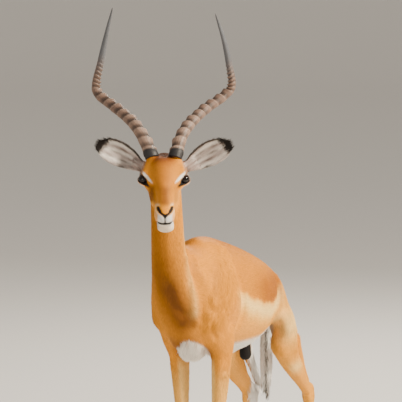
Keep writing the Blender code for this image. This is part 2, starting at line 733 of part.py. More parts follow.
def build():
    """Make every node of the animal."""
    clear_scene()
    materials = make_materials()
    root = bpy.data.objects.new("impala", None)
    bpy.context.scene.collection.objects.link(root)
    nodes = []

    mesh = cut_away(flesh_mesh(), block_below(CORONET))
    for name, mirror in SIDES.items():
        mesh = cut_away(mesh, block_beyond(*ear_seat(mirror)))
        mesh = cut_away(mesh, block_beyond(*horn_seat(name, mirror)))
        seat = head_point(mirror * EYE_SEAT[0], EYE_SEAT[1], EYE_SEAT[2])
        mesh = cut_away(mesh, ball(seat, EYE_RADIUS + GAP))
    mesh = cut_away(mesh, straight_cuts())
    mesh = cut_away(mesh, thigh_cut(1.0))
    mesh = cut_away(mesh, thigh_cut(-1.0))
    mesh = cut_away(mesh, groin_cut())

    centres = node_centres()
    kinds = {"tail": "tail_hair", "scrotum": "dark_skin"}
    for points, faces in loose_parts(mesh):
        middle = Vector(np.mean(points, axis=0))
        name = min(centres, key=lambda key: (centres[key] - middle).length)
        piece = bpy.data.meshes.new(name)
        piece.from_pydata(points, [], faces)
        nodes.append(add_node(root, name, piece, materials[kinds.get(name, "coat")]))

    for name, mirror in SIDES.items():
        horn = horn_mesh(name, mirror)
        horn.transform(Matrix.Translation(horn_seat(name, mirror)[1] * GAP))
        nodes.append(add_node(root, "horn_" + name, horn, materials["horn"], 60.0))
        ear = ear_mesh(mirror)
        ear.transform(Matrix.Translation(ear_seat(mirror)[1] * GAP))
        nodes.append(add_node(root, "ear_" + name, ear, materials["ear_coat"]))
        eye = ball(head_point(mirror * EYE_SEAT[0], EYE_SEAT[1], EYE_SEAT[2]), EYE_RADIUS)
        nodes.append(add_node(root, "eye_" + name, eye, materials["eye"], 80.0))

    up = Vector((0.0, 0.0, 1.0))
    for prefix, place, across in feet():
        for claw, inner in (("a", 1.0), ("b", -1.0)):
            mesh = claw_mesh(place - across * (inner * CLAW_SPREAD), across, up.cross(across), inner)
            nodes.append(add_node(root, prefix + "_" + claw, mesh, materials["hoof"]))
    settle(root, nodes)


build()
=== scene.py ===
"""The looks of a life-size impala ram: one skin, its coat, horns, eyes and hooves."""
import math

import bpy
import numpy as np
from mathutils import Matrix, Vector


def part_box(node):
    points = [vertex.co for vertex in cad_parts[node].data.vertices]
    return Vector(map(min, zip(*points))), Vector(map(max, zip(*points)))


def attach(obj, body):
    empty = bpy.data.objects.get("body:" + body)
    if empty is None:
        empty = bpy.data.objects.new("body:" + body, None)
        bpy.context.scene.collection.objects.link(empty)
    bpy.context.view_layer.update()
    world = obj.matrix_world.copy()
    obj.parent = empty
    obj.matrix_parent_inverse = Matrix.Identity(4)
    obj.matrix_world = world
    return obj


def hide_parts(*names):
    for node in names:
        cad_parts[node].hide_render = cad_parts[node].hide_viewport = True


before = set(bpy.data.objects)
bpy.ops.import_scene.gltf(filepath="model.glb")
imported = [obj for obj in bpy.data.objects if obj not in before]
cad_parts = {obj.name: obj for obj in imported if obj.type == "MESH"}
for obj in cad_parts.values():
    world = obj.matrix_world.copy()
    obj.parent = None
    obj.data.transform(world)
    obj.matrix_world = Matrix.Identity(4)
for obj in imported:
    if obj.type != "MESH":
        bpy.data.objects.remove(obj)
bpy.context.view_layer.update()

# ---------------------------------------------------------------------------------------------
# Where the animal stands. The trunk is turned away from the face by the yaw, and every size
# below is measured from the withers or from the middle of the face; an eye fixes the place.
BODY_YAW = math.radians(19.0)
WITHERS_X = -0.008
HEAD_X = -0.107
EYE_SEAT = np.array((0.0570, -0.334, 1.104))
eye_box = np.array(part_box("eye_left"))
PLACE = eye_box.mean(axis=0) - EYE_SEAT - (HEAD_X, 0.0, 0.0)
BODY_SIDE = np.array((math.cos(BODY_YAW), -math.sin(BODY_YAW), 0.0))
BODY_BACK = np.array((math.sin(BODY_YAW), math.cos(BODY_YAW), 0.0))
HEAD_SIDE = np.array((1.0, 0.0, 0.0))
UP = np.array((0.0, 0.0, 1.0))
SIDES = {"left": 1.0, "right": -1.0}


def body_place(across, along, height):
    """Withers plus so much across, along and up, for single values or whole arrays."""
    across, along, height = (np.asarray(value, float)[..., None] for value in (across, along, height))
    return PLACE + (WITHERS_X, 0.0, 0.0) + across * BODY_SIDE + along * BODY_BACK + height * UP


def head_place(across, along, height):
    """Middle of the face plus so much across; along and height are plain Y and Z."""
    return PLACE + (HEAD_X, 0.0, 0.0) + np.stack(np.broadcast_arrays(across, along, height), axis=-1)


def body_sizes(points):
    """The reverse of body_place: across, along and height of each point."""
    away = points - PLACE - (WITHERS_X, 0.0, 0.0)
    return away @ BODY_SIDE, away @ BODY_BACK, away[..., 2]


def head_sizes(points):
    """The reverse of head_place."""
    away = points - PLACE - (HEAD_X, 0.0, 0.0)
    return away[..., 0], away[..., 1], away[..., 2]


def unit(vectors):
    """Vectors scaled to length one."""
    return vectors / np.maximum(np.linalg.norm(vectors, axis=-1, keepdims=True), 1e-9)


# ---------------------------------------------------------------------------------------------
# Studio: a pale seamless sweep, a soft light high at the animal's left, a broad low fill from
# its right and a soft light from behind. The camera stands nine metres off with a long lens.
def paint(code):
    """sRGB hex to linear red, green and blue."""
    values = np.array([int(code[i:i + 2], 16) for i in (1, 3, 5)]) / 255.0
    return np.where(values <= 0.04045, values / 12.92, ((values + 0.055) / 1.055) ** 2.4)


def feed(material, node, links):
    """Link the inputs of a node from (node, output) pairs."""
    for name, (source, output) in links.items():
        material.node_tree.links.new(source.outputs[output], node.inputs[name])


def add_node(material, kind, settings=None, links=None):
    """Add one shader node, set its values and link its inputs."""
    node = material.node_tree.nodes.new(kind)
    for name, value in (settings or {}).items():
        if hasattr(node, name):
            setattr(node, name, value)
        else:
            node.inputs[name].default_value = value
    feed(material, node, links or {})
    return node


def new_material(name):
    """An empty material and its Principled shader."""
    material = bpy.data.materials.new(name)
    material.use_nodes = True
    return material, material.node_tree.nodes["Principled BSDF"]


def grid_faces(rows, columns, closed=True):
    """Quads over a grid of points; a closed grid joins its last column to its first."""
    i, j = np.meshgrid(np.arange(rows - 1), np.arange(columns if closed else columns - 1),
                       indexing="ij")
    k = (j + 1) % columns
    quads = np.stack([i * columns + j, i * columns + k, (i + 1) * columns + k,
                      (i + 1) * columns + j], axis=-1)
    return quads.reshape(-1, 4)


def full_turn(sides):
    """Angles of so many even steps round a circle."""
    return np.radians(np.linspace(0.0, 360.0, sides, endpoint=False))


def new_mesh(name, points, faces, material, smooth=True):
    """An object made from whole arrays of points and equal-sided faces."""
    points = np.asarray(points, dtype=np.float32)
    faces = np.asarray(faces, dtype=np.int32)
    mesh = bpy.data.meshes.new(name)
    mesh.vertices.add(len(points))
    mesh.vertices.foreach_set("co", points.ravel())
    mesh.loops.add(faces.size)
    mesh.loops.foreach_set("vertex_index", faces.ravel())
    mesh.polygons.add(len(faces))
    mesh.polygons.foreach_set("loop_start", np.arange(len(faces), dtype=np.int32) * faces.shape[1])
    mesh.update(calc_edges=True)
    mesh.validate()
    if smooth:
        mesh.shade_smooth()
    mesh.materials.append(material)
    thing = bpy.data.objects.new(name, mesh)
    bpy.context.scene.collection.objects.link(thing)
    return thing


def studio():
    """Sweep, lights, world and camera."""
    material, shader = new_material("matt_paper_sweep")
    shader.inputs["Base Color"].default_value = (*paint("#E4E1DC"), 1.0)
    shader.inputs["Roughness"].default_value = 0.95
    floor_end, curve, wall = 26.0, 8.0, 30.0
    turn = np.radians(np.linspace(0.0, 90.0, 16))
    depth = np.concatenate([[-30.0], floor_end + curve * np.sin(turn), [floor_end + curve]])
    height = np.concatenate([[0.0], curve * (1.0 - np.cos(turn)), [wall]])
    across = np.array([-30.0, 30.0])
    points = np.stack([np.broadcast_to(across, (len(depth), 2)),
                       np.broadcast_to(depth[:, None], (len(depth), 2)),
                       np.broadcast_to(height[:, None], (len(depth), 2))], axis=-1)
    new_mesh("sweep", points.reshape(-1, 3), grid_faces(len(depth), 2, False), material)

    world = bpy.data.worlds.new("soft_room")
    world.use_nodes = True
    world.node_tree.nodes["Background"].inputs["Color"].default_value = (1.0, 0.93, 0.84, 1.0)
    world.node_tree.nodes["Background"].inputs["Strength"].default_value = 0.57
    bpy.context.scene.world = world
    aim = PLACE + (0.0, 0.15, 0.75)
    for name, place, size, power, tint in (
            ("key", (4.5, -2.0, 3.9), 1.2, 880.0, (1.0, 0.90, 0.74)),
            ("fill", (-3.0, -5.0, 1.0), 3.0, 85.0, (1.0, 0.94, 0.86)),
            ("rim", (1.5, 4.5, 3.8), 2.0, 160.0, (1.0, 0.94, 0.84))):
        light = bpy.data.lights.new(name, "AREA")
        light.shape = "DISK"
        light.size = size
        light.energy = power
        light.color = tint
        lamp = bpy.data.objects.new(name, light)
        bpy.context.scene.collection.objects.link(lamp)
        lamp.location = PLACE + place
        face_towards(lamp, aim)

    view = math.radians(5.0)
    distance = 9.0
    target = PLACE + (0.0, 0.0, 1.0114)
    lens = bpy.data.cameras.new("camera")
    lens.sensor_width = 36.0
    lens.lens = 268.66
    lens.clip_end = 200.0
    camera = bpy.data.objects.new("camera", lens)
    bpy.context.scene.collection.objects.link(camera)
    camera.location = target + distance * np.array((0.0, -math.cos(view), math.sin(view)))
    face_towards(camera, target)
    bpy.context.scene.camera = camera


def face_towards(thing, target):
    """Turn a lamp or camera so that it looks at a point, upright."""
    away = np.array(thing.location) - target
    thing.rotation_euler = (math.atan2(math.hypot(away[0], away[1]), away[2]), 0.0,
                            math.atan2(away[1], away[0]) + math.pi / 2)


studio()

# ---------------------------------------------------------------------------------------------
# Flesh: bone, muscle and skin as round forms along paths, each station giving (across, along,
# height, half width, half depth). The forms run into one another like muscles under a hide.
def mm(*rows):
    """Rows of millimetres as an array of metres."""
    return np.array(rows) / 1000.0


TRUNK = mm(
    (0, -135, 715, 60, 85), (0, -80, 722, 92, 140), (0, 0, 727, 104, 169), (0, 100, 711, 116, 168),
    (0, 200, 692, 128, 168), (0, 300, 678, 132, 160), (0, 400, 672, 122, 141), (0, 500, 671, 104, 113),
    (0, 590, 670, 80, 82), (0, 632, 684, 55, 50))
SPINE = mm(
    (0, -20, 872, 22, 26), (0, 80, 866, 22, 24), (0, 180, 846, 22, 24), (0, 350, 806, 24, 24),
    (0, 500, 764, 28, 24), (0, 620, 716, 28, 24))
BRISKET = mm(
    (0, -130, 650, 42, 50), (0, -75, 598, 46, 50), (0, 10, 580, 44, 34))
SHEATH = mm(
    (0, 290, 527, 19, 19), (0, 350, 534, 17, 18), (0, 395, 565, 15, 16))
SCROTUM = mm(
    (-3, 456, 570, 14, 14), (-3, 460, 530, 17.5, 18), (-3, 464, 487, 20.5, 21))
TAIL = mm(
    (0, 655, 714, 22, 22), (-3, 708, 702, 21, 19), (-10, 738, 645, 24, 17), (-18, 738, 540, 28, 18),
    (-20, 732, 400, 27, 16), (-20, 730, 310, 14, 10))
SHOULDER_BLADE = mm(
    (34, 30, 850, 30, 50), (66, 5, 780, 36, 78), (73, -55, 710, 43, 72), (67, -104, 675, 40, 44))
UPPER_ARM = mm(
    (62, -85, 672, 38, 48), (68, -20, 612, 40, 58), (68, 35, 580, 32, 44))
FORELEG = mm(
    (68, 12, 610, 34, 62), (67, 18, 540, 30, 46), (63, 20, 460, 26, 35), (59, 18, 390, 22.5, 26.5),
    (57, 18, 350, 20, 23.5), (57, 16, 315, 21, 24.5), (56.5, 22, 280, 16.5, 19),
    (55.5, 24, 200, 14.5, 16.5), (55, 24, 125, 15, 17.5), (55, 24, 95, 18, 21.5), (55, 8, 64, 16, 17.5),
    (55, -4, 36, 20, 23))
HIND_LEGS = {
    "left": {"side": 1.0, "stifle": (0.096, 0.530, 0.515), "hock": (0.099, 0.810, 0.322),
             "fetlock": (0.112, 0.832, 0.095)},
    "right": {"side": -1.0, "stifle": (-0.096, 0.520, 0.500), "hock": (-0.082, 0.752, 0.318),
              "fetlock": (-0.100, 0.765, 0.095)},
}
HIND_TURN = math.radians(24.0)
HEEL_REACH = (0.016, 0.043, 0.027)
NECK = mm(
    (2, -262, 1120, 46, 54), (4, -240, 1060, 47.5, 62), (7, -215, 980, 49.5, 72),
    (10, -185, 900, 52.5, 87), (18, -145, 820, 60, 106), (36, -95, 745, 74, 118),
    (66, -30, 690, 80, 110))
SKULL = mm(
    (0, -258, 1138, 38, 40), (0, -285, 1130, 49, 51), (0, -318, 1108, 53, 55), (0, -350, 1083, 44, 50),
    (0, -382, 1058, 34, 42), (2, -412, 1034, 29, 34), (3, -436, 1014, 32.2, 29),
    (4, -450, 1002, 30.2, 24))
LOWER_JAW = mm(
    (0, -285, 1060, 36, 34), (0, -325, 1030, 30, 28), (1, -368, 1002, 24, 22), (5, -408, 980, 26.2, 18),
    (6, -430, 972, 26.2, 16))
CHEEK = mm(
    (26, -285, 1080, 22, 34), (22, -330, 1048, 18, 26))
BROW = mm(
    (44, -300, 1132, 21, 22), (47, -325, 1114, 23.5, 24), (40, -350, 1092, 19, 21))
EAR_ROOT = mm(
    (38, -266, 1124, 20, 20), (82, -266, 1145, 16, 12))
HORN_CORE = mm(
    (30, -300, 1140, 17.5, 19), (38, -290, 1170, 15, 16))


def smooth_rows(rows, per_span):
    """A smooth curve (Catmull-Rom) through station rows, with so many steps to a span."""
    rows = np.asarray(rows, dtype=float)
    ends = np.vstack([2 * rows[0] - rows[1], rows, 2 * rows[-1] - rows[-2]])
    step = np.linspace(0.0, 1.0, per_span, endpoint=False)[None, :, None]
    p0, p1, p2, p3 = (ends[i:len(rows) - 1 + i, None, :] for i in range(4))
    curve = 0.5 * (2 * p1 + (p2 - p0) * step + (2 * p0 - 5 * p1 + 4 * p2 - p3) * step ** 2
                   + (3 * p1 - p0 - 3 * p2 + p3) * step ** 3)
    return np.vstack([curve.reshape(-1, rows.shape[1]), rows[-1:]])


def lay_form(rows, place, side_axis, mirror=1.0, coat=0.005, join=0.020, lie=1.0):
    """One round form: its path, the axes of its sections and its half sizes under the coat.

    `join` is how softly it runs into its neighbours, and `lie` is +1 where the hair lies along
    the path and -1 where it lies against it.
    """
    rows = smooth_rows(rows, 4)
    centre = place(mirror * rows[:, 0], rows[:, 1], rows[:, 2])
    tangent = unit(np.gradient(centre, axis=0))
    side = unit(side_axis - tangent * (tangent @ side_axis)[:, None])
    sizes = np.maximum(rows[:, 3:5] - coat, 0.0015)
    return {"centre": centre, "side": side, "rise": np.cross(tangent, side), "tangent": tangent,
            "wide": sizes[:, 0], "deep": sizes[:, 1], "join": join, "lie": lie}


def hind_side(side):
    """The sideways axis of a hind leg, whose foot is turned outwards."""
    return BODY_SIDE * math.cos(HIND_TURN) + BODY_BACK * (side * math.sin(HIND_TURN))


def hind_forms(leg):
    """Thigh, shank, tendon and foot of one hind leg."""
    side = leg["side"]
    knee, hock, fetlock = (np.array(leg[key]) for key in ("stifle", "hock", "fetlock"))
    inwards, back, up = HEEL_REACH
    heel = hock + (-side * inwards, back, up)
    shank = hock - knee
    cannon = fetlock - hock
    thigh = [
        (side * 0.040, 0.568, 0.682, 0.033, 0.050),
        (side * 0.052, 0.584, 0.645, 0.041, 0.086),
        (side * 0.068, 0.592, 0.602, 0.044, 0.101),
        (side * 0.084, 0.590, 0.555, 0.043, 0.098),
        (knee[0] * 0.97, knee[1] + 0.060, 0.500, 0.037, 0.070),
    ]
    lower = [(*(knee + shank * share), wide, deep) for share, wide, deep in (
        (0.00, 0.037, 0.050), (0.25, 0.035, 0.050), (0.50, 0.030, 0.042), (0.72, 0.0235, 0.032),
        (0.90, 0.0205, 0.028))]
    tendon = [
        (side * 0.088, 0.685, 0.510, 0.022, 0.032),
        (*(0.5 * (heel + (side * 0.088, 0.685, 0.510)) + (0.0, 0.010, -0.012)), 0.013, 0.018),
        (*heel, 0.0105, 0.0125),
    ]
    foot = [(*(hock + cannon * share), wide, deep) for share, wide, deep in (
        (-0.06, 0.0215, 0.0310), (0.07, 0.0220, 0.0310), (0.22, 0.0165, 0.0220),
        (0.55, 0.0145, 0.0175), (0.86, 0.0150, 0.0180), (1.00, 0.0180, 0.0215))]
    ahead = np.array((side * math.sin(HIND_TURN), -math.cos(HIND_TURN), 0.0))
    foot.append((*(fetlock + 0.016 * ahead)[:2], 0.064, 0.0160, 0.0175))
    foot.append((*(fetlock + 0.028 * ahead)[:2], 0.036, 0.0200, 0.0230))
    axis = hind_side(side)
    return [lay_form(thigh, body_place, axis, join=0.030),
            lay_form(lower, body_place, axis, coat=0.004, join=0.022),
            lay_form(tendon, body_place, axis, coat=0.003, join=0.010),
            lay_form(foot, body_place, axis, coat=0.0022, join=0.010)], foot[-1]


def all_forms():
    """Every form of the animal, in the order in which they are run together."""
    forms = [lay_form(TRUNK, body_place, BODY_SIDE),
             lay_form(SPINE, body_place, BODY_SIDE, join=0.040),
             lay_form(BRISKET, body_place, BODY_SIDE, join=0.030),
             lay_form(SHEATH, body_place, BODY_SIDE, join=0.020),
             lay_form(NECK, head_place, HEAD_SIDE, join=0.050)]
    for mirror in SIDES.values():
        forms += [lay_form(SHOULDER_BLADE, body_place, BODY_SIDE, mirror, join=0.035),
                  lay_form(UPPER_ARM, body_place, BODY_SIDE, mirror, join=0.022),
                  lay_form(FORELEG, body_place, BODY_SIDE, mirror, 0.0025, 0.022)]
    forms += [lay_form(SKULL, head_place, HEAD_SIDE, coat=0.0025, join=0.020, lie=-1.0),
              lay_form(LOWER_JAW, head_place, HEAD_SIDE, coat=0.0025, join=0.020, lie=-1.0)]
    for mirror in SIDES.values():
        forms += [lay_form(CHEEK, head_place, HEAD_SIDE, mirror, 0.0025, 0.022, -1.0),
                  lay_form(BROW, head_place, HEAD_SIDE, mirror, 0.0025, 0.016, -1.0),
                  lay_form(EAR_ROOT, head_place, HEAD_SIDE, mirror, 0.0020, 0.014),
                  lay_form(HORN_CORE, head_place, HEAD_SIDE, mirror, 0.0005, 0.012)]
    feet = {}
    for name, leg in HIND_LEGS.items():
        made, feet[name] = hind_forms(leg)
        forms += made
    forms += [lay_form(SCROTUM, body_place, BODY_SIDE, coat=0.001, join=0.006),
              lay_form(TAIL, body_place, BODY_SIDE, coat=0.009, join=0.008)]
    return forms, feet


FORMS, HIND_FEET = all_forms()


def part_along(offset, axis):
    """How much of an offset, given as its x, y and z blocks, runs along an axis."""
    return offset[0] * axis[0] + offset[1] * axis[1] + offset[2] * axis[2]


def off_span(start, run, place):
    """Share of the run beside which each place lies (0 to 1), and its offset from there."""
    offset = [place[i] - start[i] for i in range(3)]
    t = np.clip(part_along(offset, run) / max(run @ run, 1e-12), 0.0, 1.0)
    return t, [offset[i] - t * run[i] for i in range(3)]


def span_depth(form, j, place):
    """Depth below one span of a form, negative inside: a tapered rod of elliptical section."""
    run = form["centre"][j + 1] - form["centre"][j]
    t, offset = off_span(form["centre"][j], run, place)
    side = unit(form["side"][j] + form["side"][j + 1])
    rise = unit(form["rise"][j] + form["rise"][j + 1])
    wide = form["wide"][j] + t * (form["wide"][j + 1] - form["wide"][j])
    deep = form["deep"][j] + t * (form["deep"][j + 1] - form["deep"][j])
    least = np.minimum(wide, deep)
    u = part_along(offset, side) / wide
    v = part_along(offset, rise) / deep
    w = part_along(offset, unit(run)) / least
    whole = np.sqrt(u * u + v * v + w * w)
    slope = np.sqrt((u / wide) ** 2 + (v / deep) ** 2 + (w / least) ** 2)
    return np.where(whole < 0.05, -least, whole * (whole - 1.0) / np.maximum(slope, 1e-6))


# The block of space that the flesh is worked out in: finely divided round the head and ears.
FINE, COARSE = 0.0027, 0.0066
FAR = 0.06


def ruler(low, high, fine_low, fine_high):
    """Marks along one axis, closer together between the two inner values."""
    marks = [low]
    while marks[-1] < high:
        near = fine_low - COARSE < marks[-1] < fine_high
        marks.append(marks[-1] + (FINE if near else COARSE))
    return np.array(marks)


def block_ruler():
    """The three rulers round all forms, in world axes."""
    low = np.min([f["centre"].min(axis=0) for f in FORMS], axis=0) - 0.14
    high = np.max([f["centre"].max(axis=0) for f in FORMS], axis=0) + 0.14
    low[2] = PLACE[2] + 0.030
    ears = head_place(np.array((-0.200, 0.200)), np.array((-0.485, -0.245)), np.array((0.950, 1.215)))
    return [ruler(low[i], high[i], ears[0, i], ears[1, i]) for i in range(3)]


RULERS = block_ruler()


def part_of_block(low, high):
    """The slices of the block between two corners."""
    return tuple(slice(max(int(np.searchsorted(RULERS[i], low[i])) - 1, 0),
                       int(np.searchsorted(RULERS[i], high[i])) + 1) for i in range(3))


def block_axes(part):
    """Broadcasting x, y and z over a part of the block."""
    x, y, z = (RULERS[i][part[i]].astype(np.float32) for i in range(3))
    return x[:, None, None], y[None, :, None], z[None, None, :]


def run_together(first, second, join):
    """Smooth lesser of two depths: the smaller one, eased by a fillet where they are near."""
    share = np.clip(0.5 + 0.5 * (first - second) / join, 0.0, 1.0)
    return first * (1.0 - share) + second * share - join * share * (1.0 - share)


def form_block(form, reach):
    """The part of the block round one form, and the depth of the form in it."""
    size = np.maximum(form["wide"], form["deep"])[:, None] + reach
    part = part_of_block((form["centre"] - size).min(axis=0), (form["centre"] + size).max(axis=0))
    shape = [len(RULERS[i][part[i]]) for i in range(3)]
    depth = np.full(shape, FAR, dtype=np.float32)
    for j in range(len(form["centre"]) - 1):
        ends = form["centre"][j:j + 2]
        room = size[j:j + 2].max()
        inner = part_of_block(ends.min(axis=0) - room, ends.max(axis=0) + room)
        inner = tuple(slice(max(a.start, b.start), min(a.stop, b.stop)) for a, b in zip(inner, part))
        local = tuple(slice(a.start - b.start, a.stop - b.start) for a, b in zip(inner, part))
        found = span_depth(form, j, block_axes(inner))
        depth[local] = np.minimum(depth[local], found)
    return part, depth


def grow_flesh():
    """Run all forms together into one depth block."""
    block = np.full([len(marks) for marks in RULERS], FAR, dtype=np.float32)
    for form in FORMS:
        part, depth = form_block(form, form["join"] + 0.012)
        block[part] = run_together(block[part], depth, form["join"])
    return block


block = grow_flesh()

# ---------------------------------------------------------------------------------------------
# Ears: a leaf of gristle between two thin skins, bowed like a scoop that faces forwards.
EAR_LINE = mm(
    (56, -270, 1129), (76, -272.5, 1141), (98, -276, 1155), (133, -282, 1174.5), (167, -287, 1190),
    (192.5, -289.8, 1200.5))
EAR_HALF_WIDTH = [0.0090, 0.0175, 0.0275, 0.0345, 0.0285, 0.0110]
EAR_CUP = [0.0080, 0.0140, 0.0185, 0.0150, 0.0075, 0.0015]
EAR_THICKNESS = 0.0042


def ear_path(mirror):
    """Middle line, across and front axes, half width and cup depth along one ear."""
    rows = smooth_rows([(*p, w, c) for p, w, c in zip(EAR_LINE, EAR_HALF_WIDTH, EAR_CUP)], 4)
    line = head_place(mirror * rows[:, 0], rows[:, 1], rows[:, 2])
    tangent = unit(np.gradient(line, axis=0))
    front = np.array((mirror * 0.10, -1.0, 0.05))
    front = unit(front - tangent * (tangent @ front)[:, None])
    return {"line": line, "tangent": tangent, "front": front, "across": np.cross(tangent, front),
            "half": rows[:, 3], "cup": rows[:, 4]}


EARS = {name: ear_path(mirror) for name, mirror in SIDES.items()}


def ear_depth(ear, place):
    """Depth below a bowed leaf: distance from its middle surface less half its thickness."""
    best = None
    for j in range(len(ear["line"]) - 1):
        run = ear["line"][j + 1] - ear["line"][j]
        t, offset = off_span(ear["line"][j], run, place)
        half = ear["half"][j] + t * (ear["half"][j + 1] - ear["half"][j])
        cup = ear["cup"][j] + t * (ear["cup"][j + 1] - ear["cup"][j])
        u, v, w = (part_along(offset, unit(axis)) for axis in (ear["across"][j], ear["front"][j], run))
        spread = np.clip(u / half, -1.2, 1.2)
        slope = 2.0 * cup * spread / half
        leaf = np.abs(v + cup * (1.0 - spread ** 2)) / np.sqrt(1.0 + slope ** 2)
        edge = np.maximum(np.abs(u) - half, 0.0)
        found = np.sqrt(leaf ** 2 + edge ** 2 + w ** 2) - EAR_THICKNESS / 2
        best = found if best is None else np.minimum(best, found)
    return best


for ear in EARS.values():
    part = part_of_block(ear["line"].min(axis=0) - 0.045, ear["line"].max(axis=0) + 0.045)
    block[part] = run_together(block[part], ear_depth(ear, block_axes(part)), 0.007)

# ---------------------------------------------------------------------------------------------
# Eyelids: they swell over the eyeball and part in a slanting almond.
EYE_RADIUS = 0.0165
LID = 0.0026
EYE_LOOK = np.array((0.50, -0.86, 0.04))
EYE_SLANT = np.array((0.74, 0.46, 0.52))
ALMOND = (0.0215, 0.0088)
NOSE_SHIFT = 0.0045


def eye_axes(mirror):
    """Seat, outward, long and short axes of an eye."""
    flip = np.array((mirror, 1.0, 1.0))
    outward = unit(EYE_LOOK * flip)
    long_axis = EYE_SLANT * flip
    long_axis = unit(long_axis - outward * (long_axis @ outward))
    return (head_place(mirror * EYE_SEAT[0], EYE_SEAT[1], EYE_SEAT[2]), outward, long_axis,
            np.cross(outward, long_axis))


def eye_offsets(points, mirror):
    """Place of each point about an eye: along its long axis, along its short one, and out."""
    seat, outward, long_axis, short_axis = eye_axes(mirror)
    away = points - seat
    return away @ long_axis, (away @ short_axis) * mirror, away @ outward


def carve(part, depth, join):
    """Take a hollow out of the block with a softly rounded edge."""
    block[part] = -run_together(-block[part], depth, join)


for mirror in SIDES.values():
    seat, outward, long_axis, short_axis = eye_axes(mirror)
    part = part_of_block(seat - 0.05, seat + 0.05)
    away = [axis - seat[i] for i, axis in enumerate(block_axes(part))]
    ball = np.sqrt(away[0] ** 2 + away[1] ** 2 + away[2] ** 2)
    block[part] = run_together(block[part], ball - EYE_RADIUS - LID, 0.010)
    out, reach, rise = (part_along(away, axis) for axis in (outward, long_axis, short_axis))
    lens = np.abs(rise) - ALMOND[1] * (1.0 - (reach / ALMOND[0]) ** 2)
    lens = lens / np.sqrt(1.0 + (2.0 * ALMOND[1] * np.clip(reach, -0.02, 0.02) / ALMOND[0] ** 2) ** 2)
    carve(part, np.maximum(lens, -out), 0.0012)

# ---------------------------------------------------------------------------------------------
# One skin over the flesh: the surface where the depth is nought, with one point in each small
# box that the surface crosses, settled onto the surface and then modelled with light strokes.
CORNERS = np.array([(i, j, k) for i in (0, 1) for j in (0, 1) for k in (0, 1)])


def surface_of(depth):
    """Points and quads of the zero surface of a depth block (the surface-net way)."""
    inside = depth < 0.0
    total = np.zeros([n - 1 for n in depth.shape], dtype=np.int8)
    for i, j, k in CORNERS:
        total += inside[i:i + total.shape[0], j:j + total.shape[1], k:k + total.shape[2]]
    cells = np.argwhere((total > 0) & (total < 8))
    flat = np.ravel_multi_index(cells.T, total.shape)
    at = (cells[:, None, :] + CORNERS[None]).transpose(2, 0, 1)
    values = depth[at[0], at[1], at[2]].astype(float)
    spots = np.stack([RULERS[i][at[i]] for i in range(3)], axis=-1)
    gathered = np.zeros((len(cells), 3))
    count = np.zeros(len(cells))
    for a in range(8):
        for b in range(a + 1, 8):
            if np.abs(CORNERS[a] - CORNERS[b]).sum() != 1:
                continue
            crosses = (values[:, a] < 0) != (values[:, b] < 0)
            share = values[:, a] / np.where(crosses, values[:, a] - values[:, b], 1.0)
            spot = spots[:, a] + share[:, None] * (spots[:, b] - spots[:, a])
            gathered += np.where(crosses[:, None], spot, 0.0)
            count += crosses
    points = gathered / count[:, None]
    quads = []
    for axis in range(3):
        u, v = [(1, 2), (2, 0), (0, 1)][axis]
        near = inside.take(range(depth.shape[axis] - 1), axis)
        far = inside.take(range(1, depth.shape[axis]), axis)
        edges = np.argwhere(near != far)
        keep = np.all(edges > 0, axis=1) & np.all(edges < np.array(depth.shape) - 1, axis=1)
        edges = edges[keep]
        starts_inside = near[tuple(edges.T)]
        steps = []
        for back_u, back_v in ((1, 1), (0, 1), (0, 0), (1, 0)):
            cell = edges.copy()
            cell[:, u] -= back_u
            cell[:, v] -= back_v
            steps.append(np.searchsorted(flat, np.ravel_multi_index(cell.T, total.shape)))
        faces = np.stack(steps, axis=-1)
        faces[~starts_inside] = faces[~starts_inside][:, ::-1]
        quads.append(faces)
    return points, np.vstack(quads)


def depth_at(depth, points):
    """Depth at any points, blended from the eight marks round each."""
    low, share = [], []
    for i in range(3):
        k = np.clip(np.searchsorted(RULERS[i], points[:, i]) - 1, 0, len(RULERS[i]) - 2)
        low.append(k)
        share.append((points[:, i] - RULERS[i][k]) / (RULERS[i][k + 1] - RULERS[i][k]))
    out = np.zeros(len(points))
    for corner in CORNERS:
        weight = np.prod([s if c else 1.0 - s for s, c in zip(share, corner)], axis=0)
        out += weight * depth[low[0] + corner[0], low[1] + corner[1], low[2] + corner[2]]
    return out


def point_normals(points, quads):
    """Outward direction at each point, from the faces round it."""
    across = points[quads[:, 2]] - points[quads[:, 0]]
    other = points[quads[:, 3]] - points[quads[:, 1]]
    face = np.cross(across, other)
    normals = np.stack([np.bincount(quads.ravel(), np.repeat(face[:, i], 4), len(points))
                        for i in range(3)], axis=-1)
    return unit(normals)


def relax(points, quads, strength, rounds):
    """Ease each point towards the middle of its neighbours."""
    links = np.concatenate([quads[:, (0, 1)], quads[:, (1, 2)], quads[:, (2, 3)], quads[:, (3, 0)]])
    count = np.bincount(links.ravel(), minlength=len(points))[:, None]
    for _ in range(rounds):
        total = np.stack([np.bincount(links[:, 0], points[links[:, 1], i], len(points))
                          + np.bincount(links[:, 1], points[links[:, 0], i], len(points))
                          for i in range(3)], axis=-1)
        points = points + strength * (total / count - points)
    return points


block[:, :, :2] = np.maximum(block[:, :, :2], 0.001)
skin_points, skin_quads = surface_of(block)
for _ in range(2):
    skin_points = relax(skin_points, skin_quads, 0.45, 1)
    skin_normals = point_normals(skin_points, skin_quads)
    skin_points = skin_points - skin_normals * depth_at(block, skin_points)[:, None]

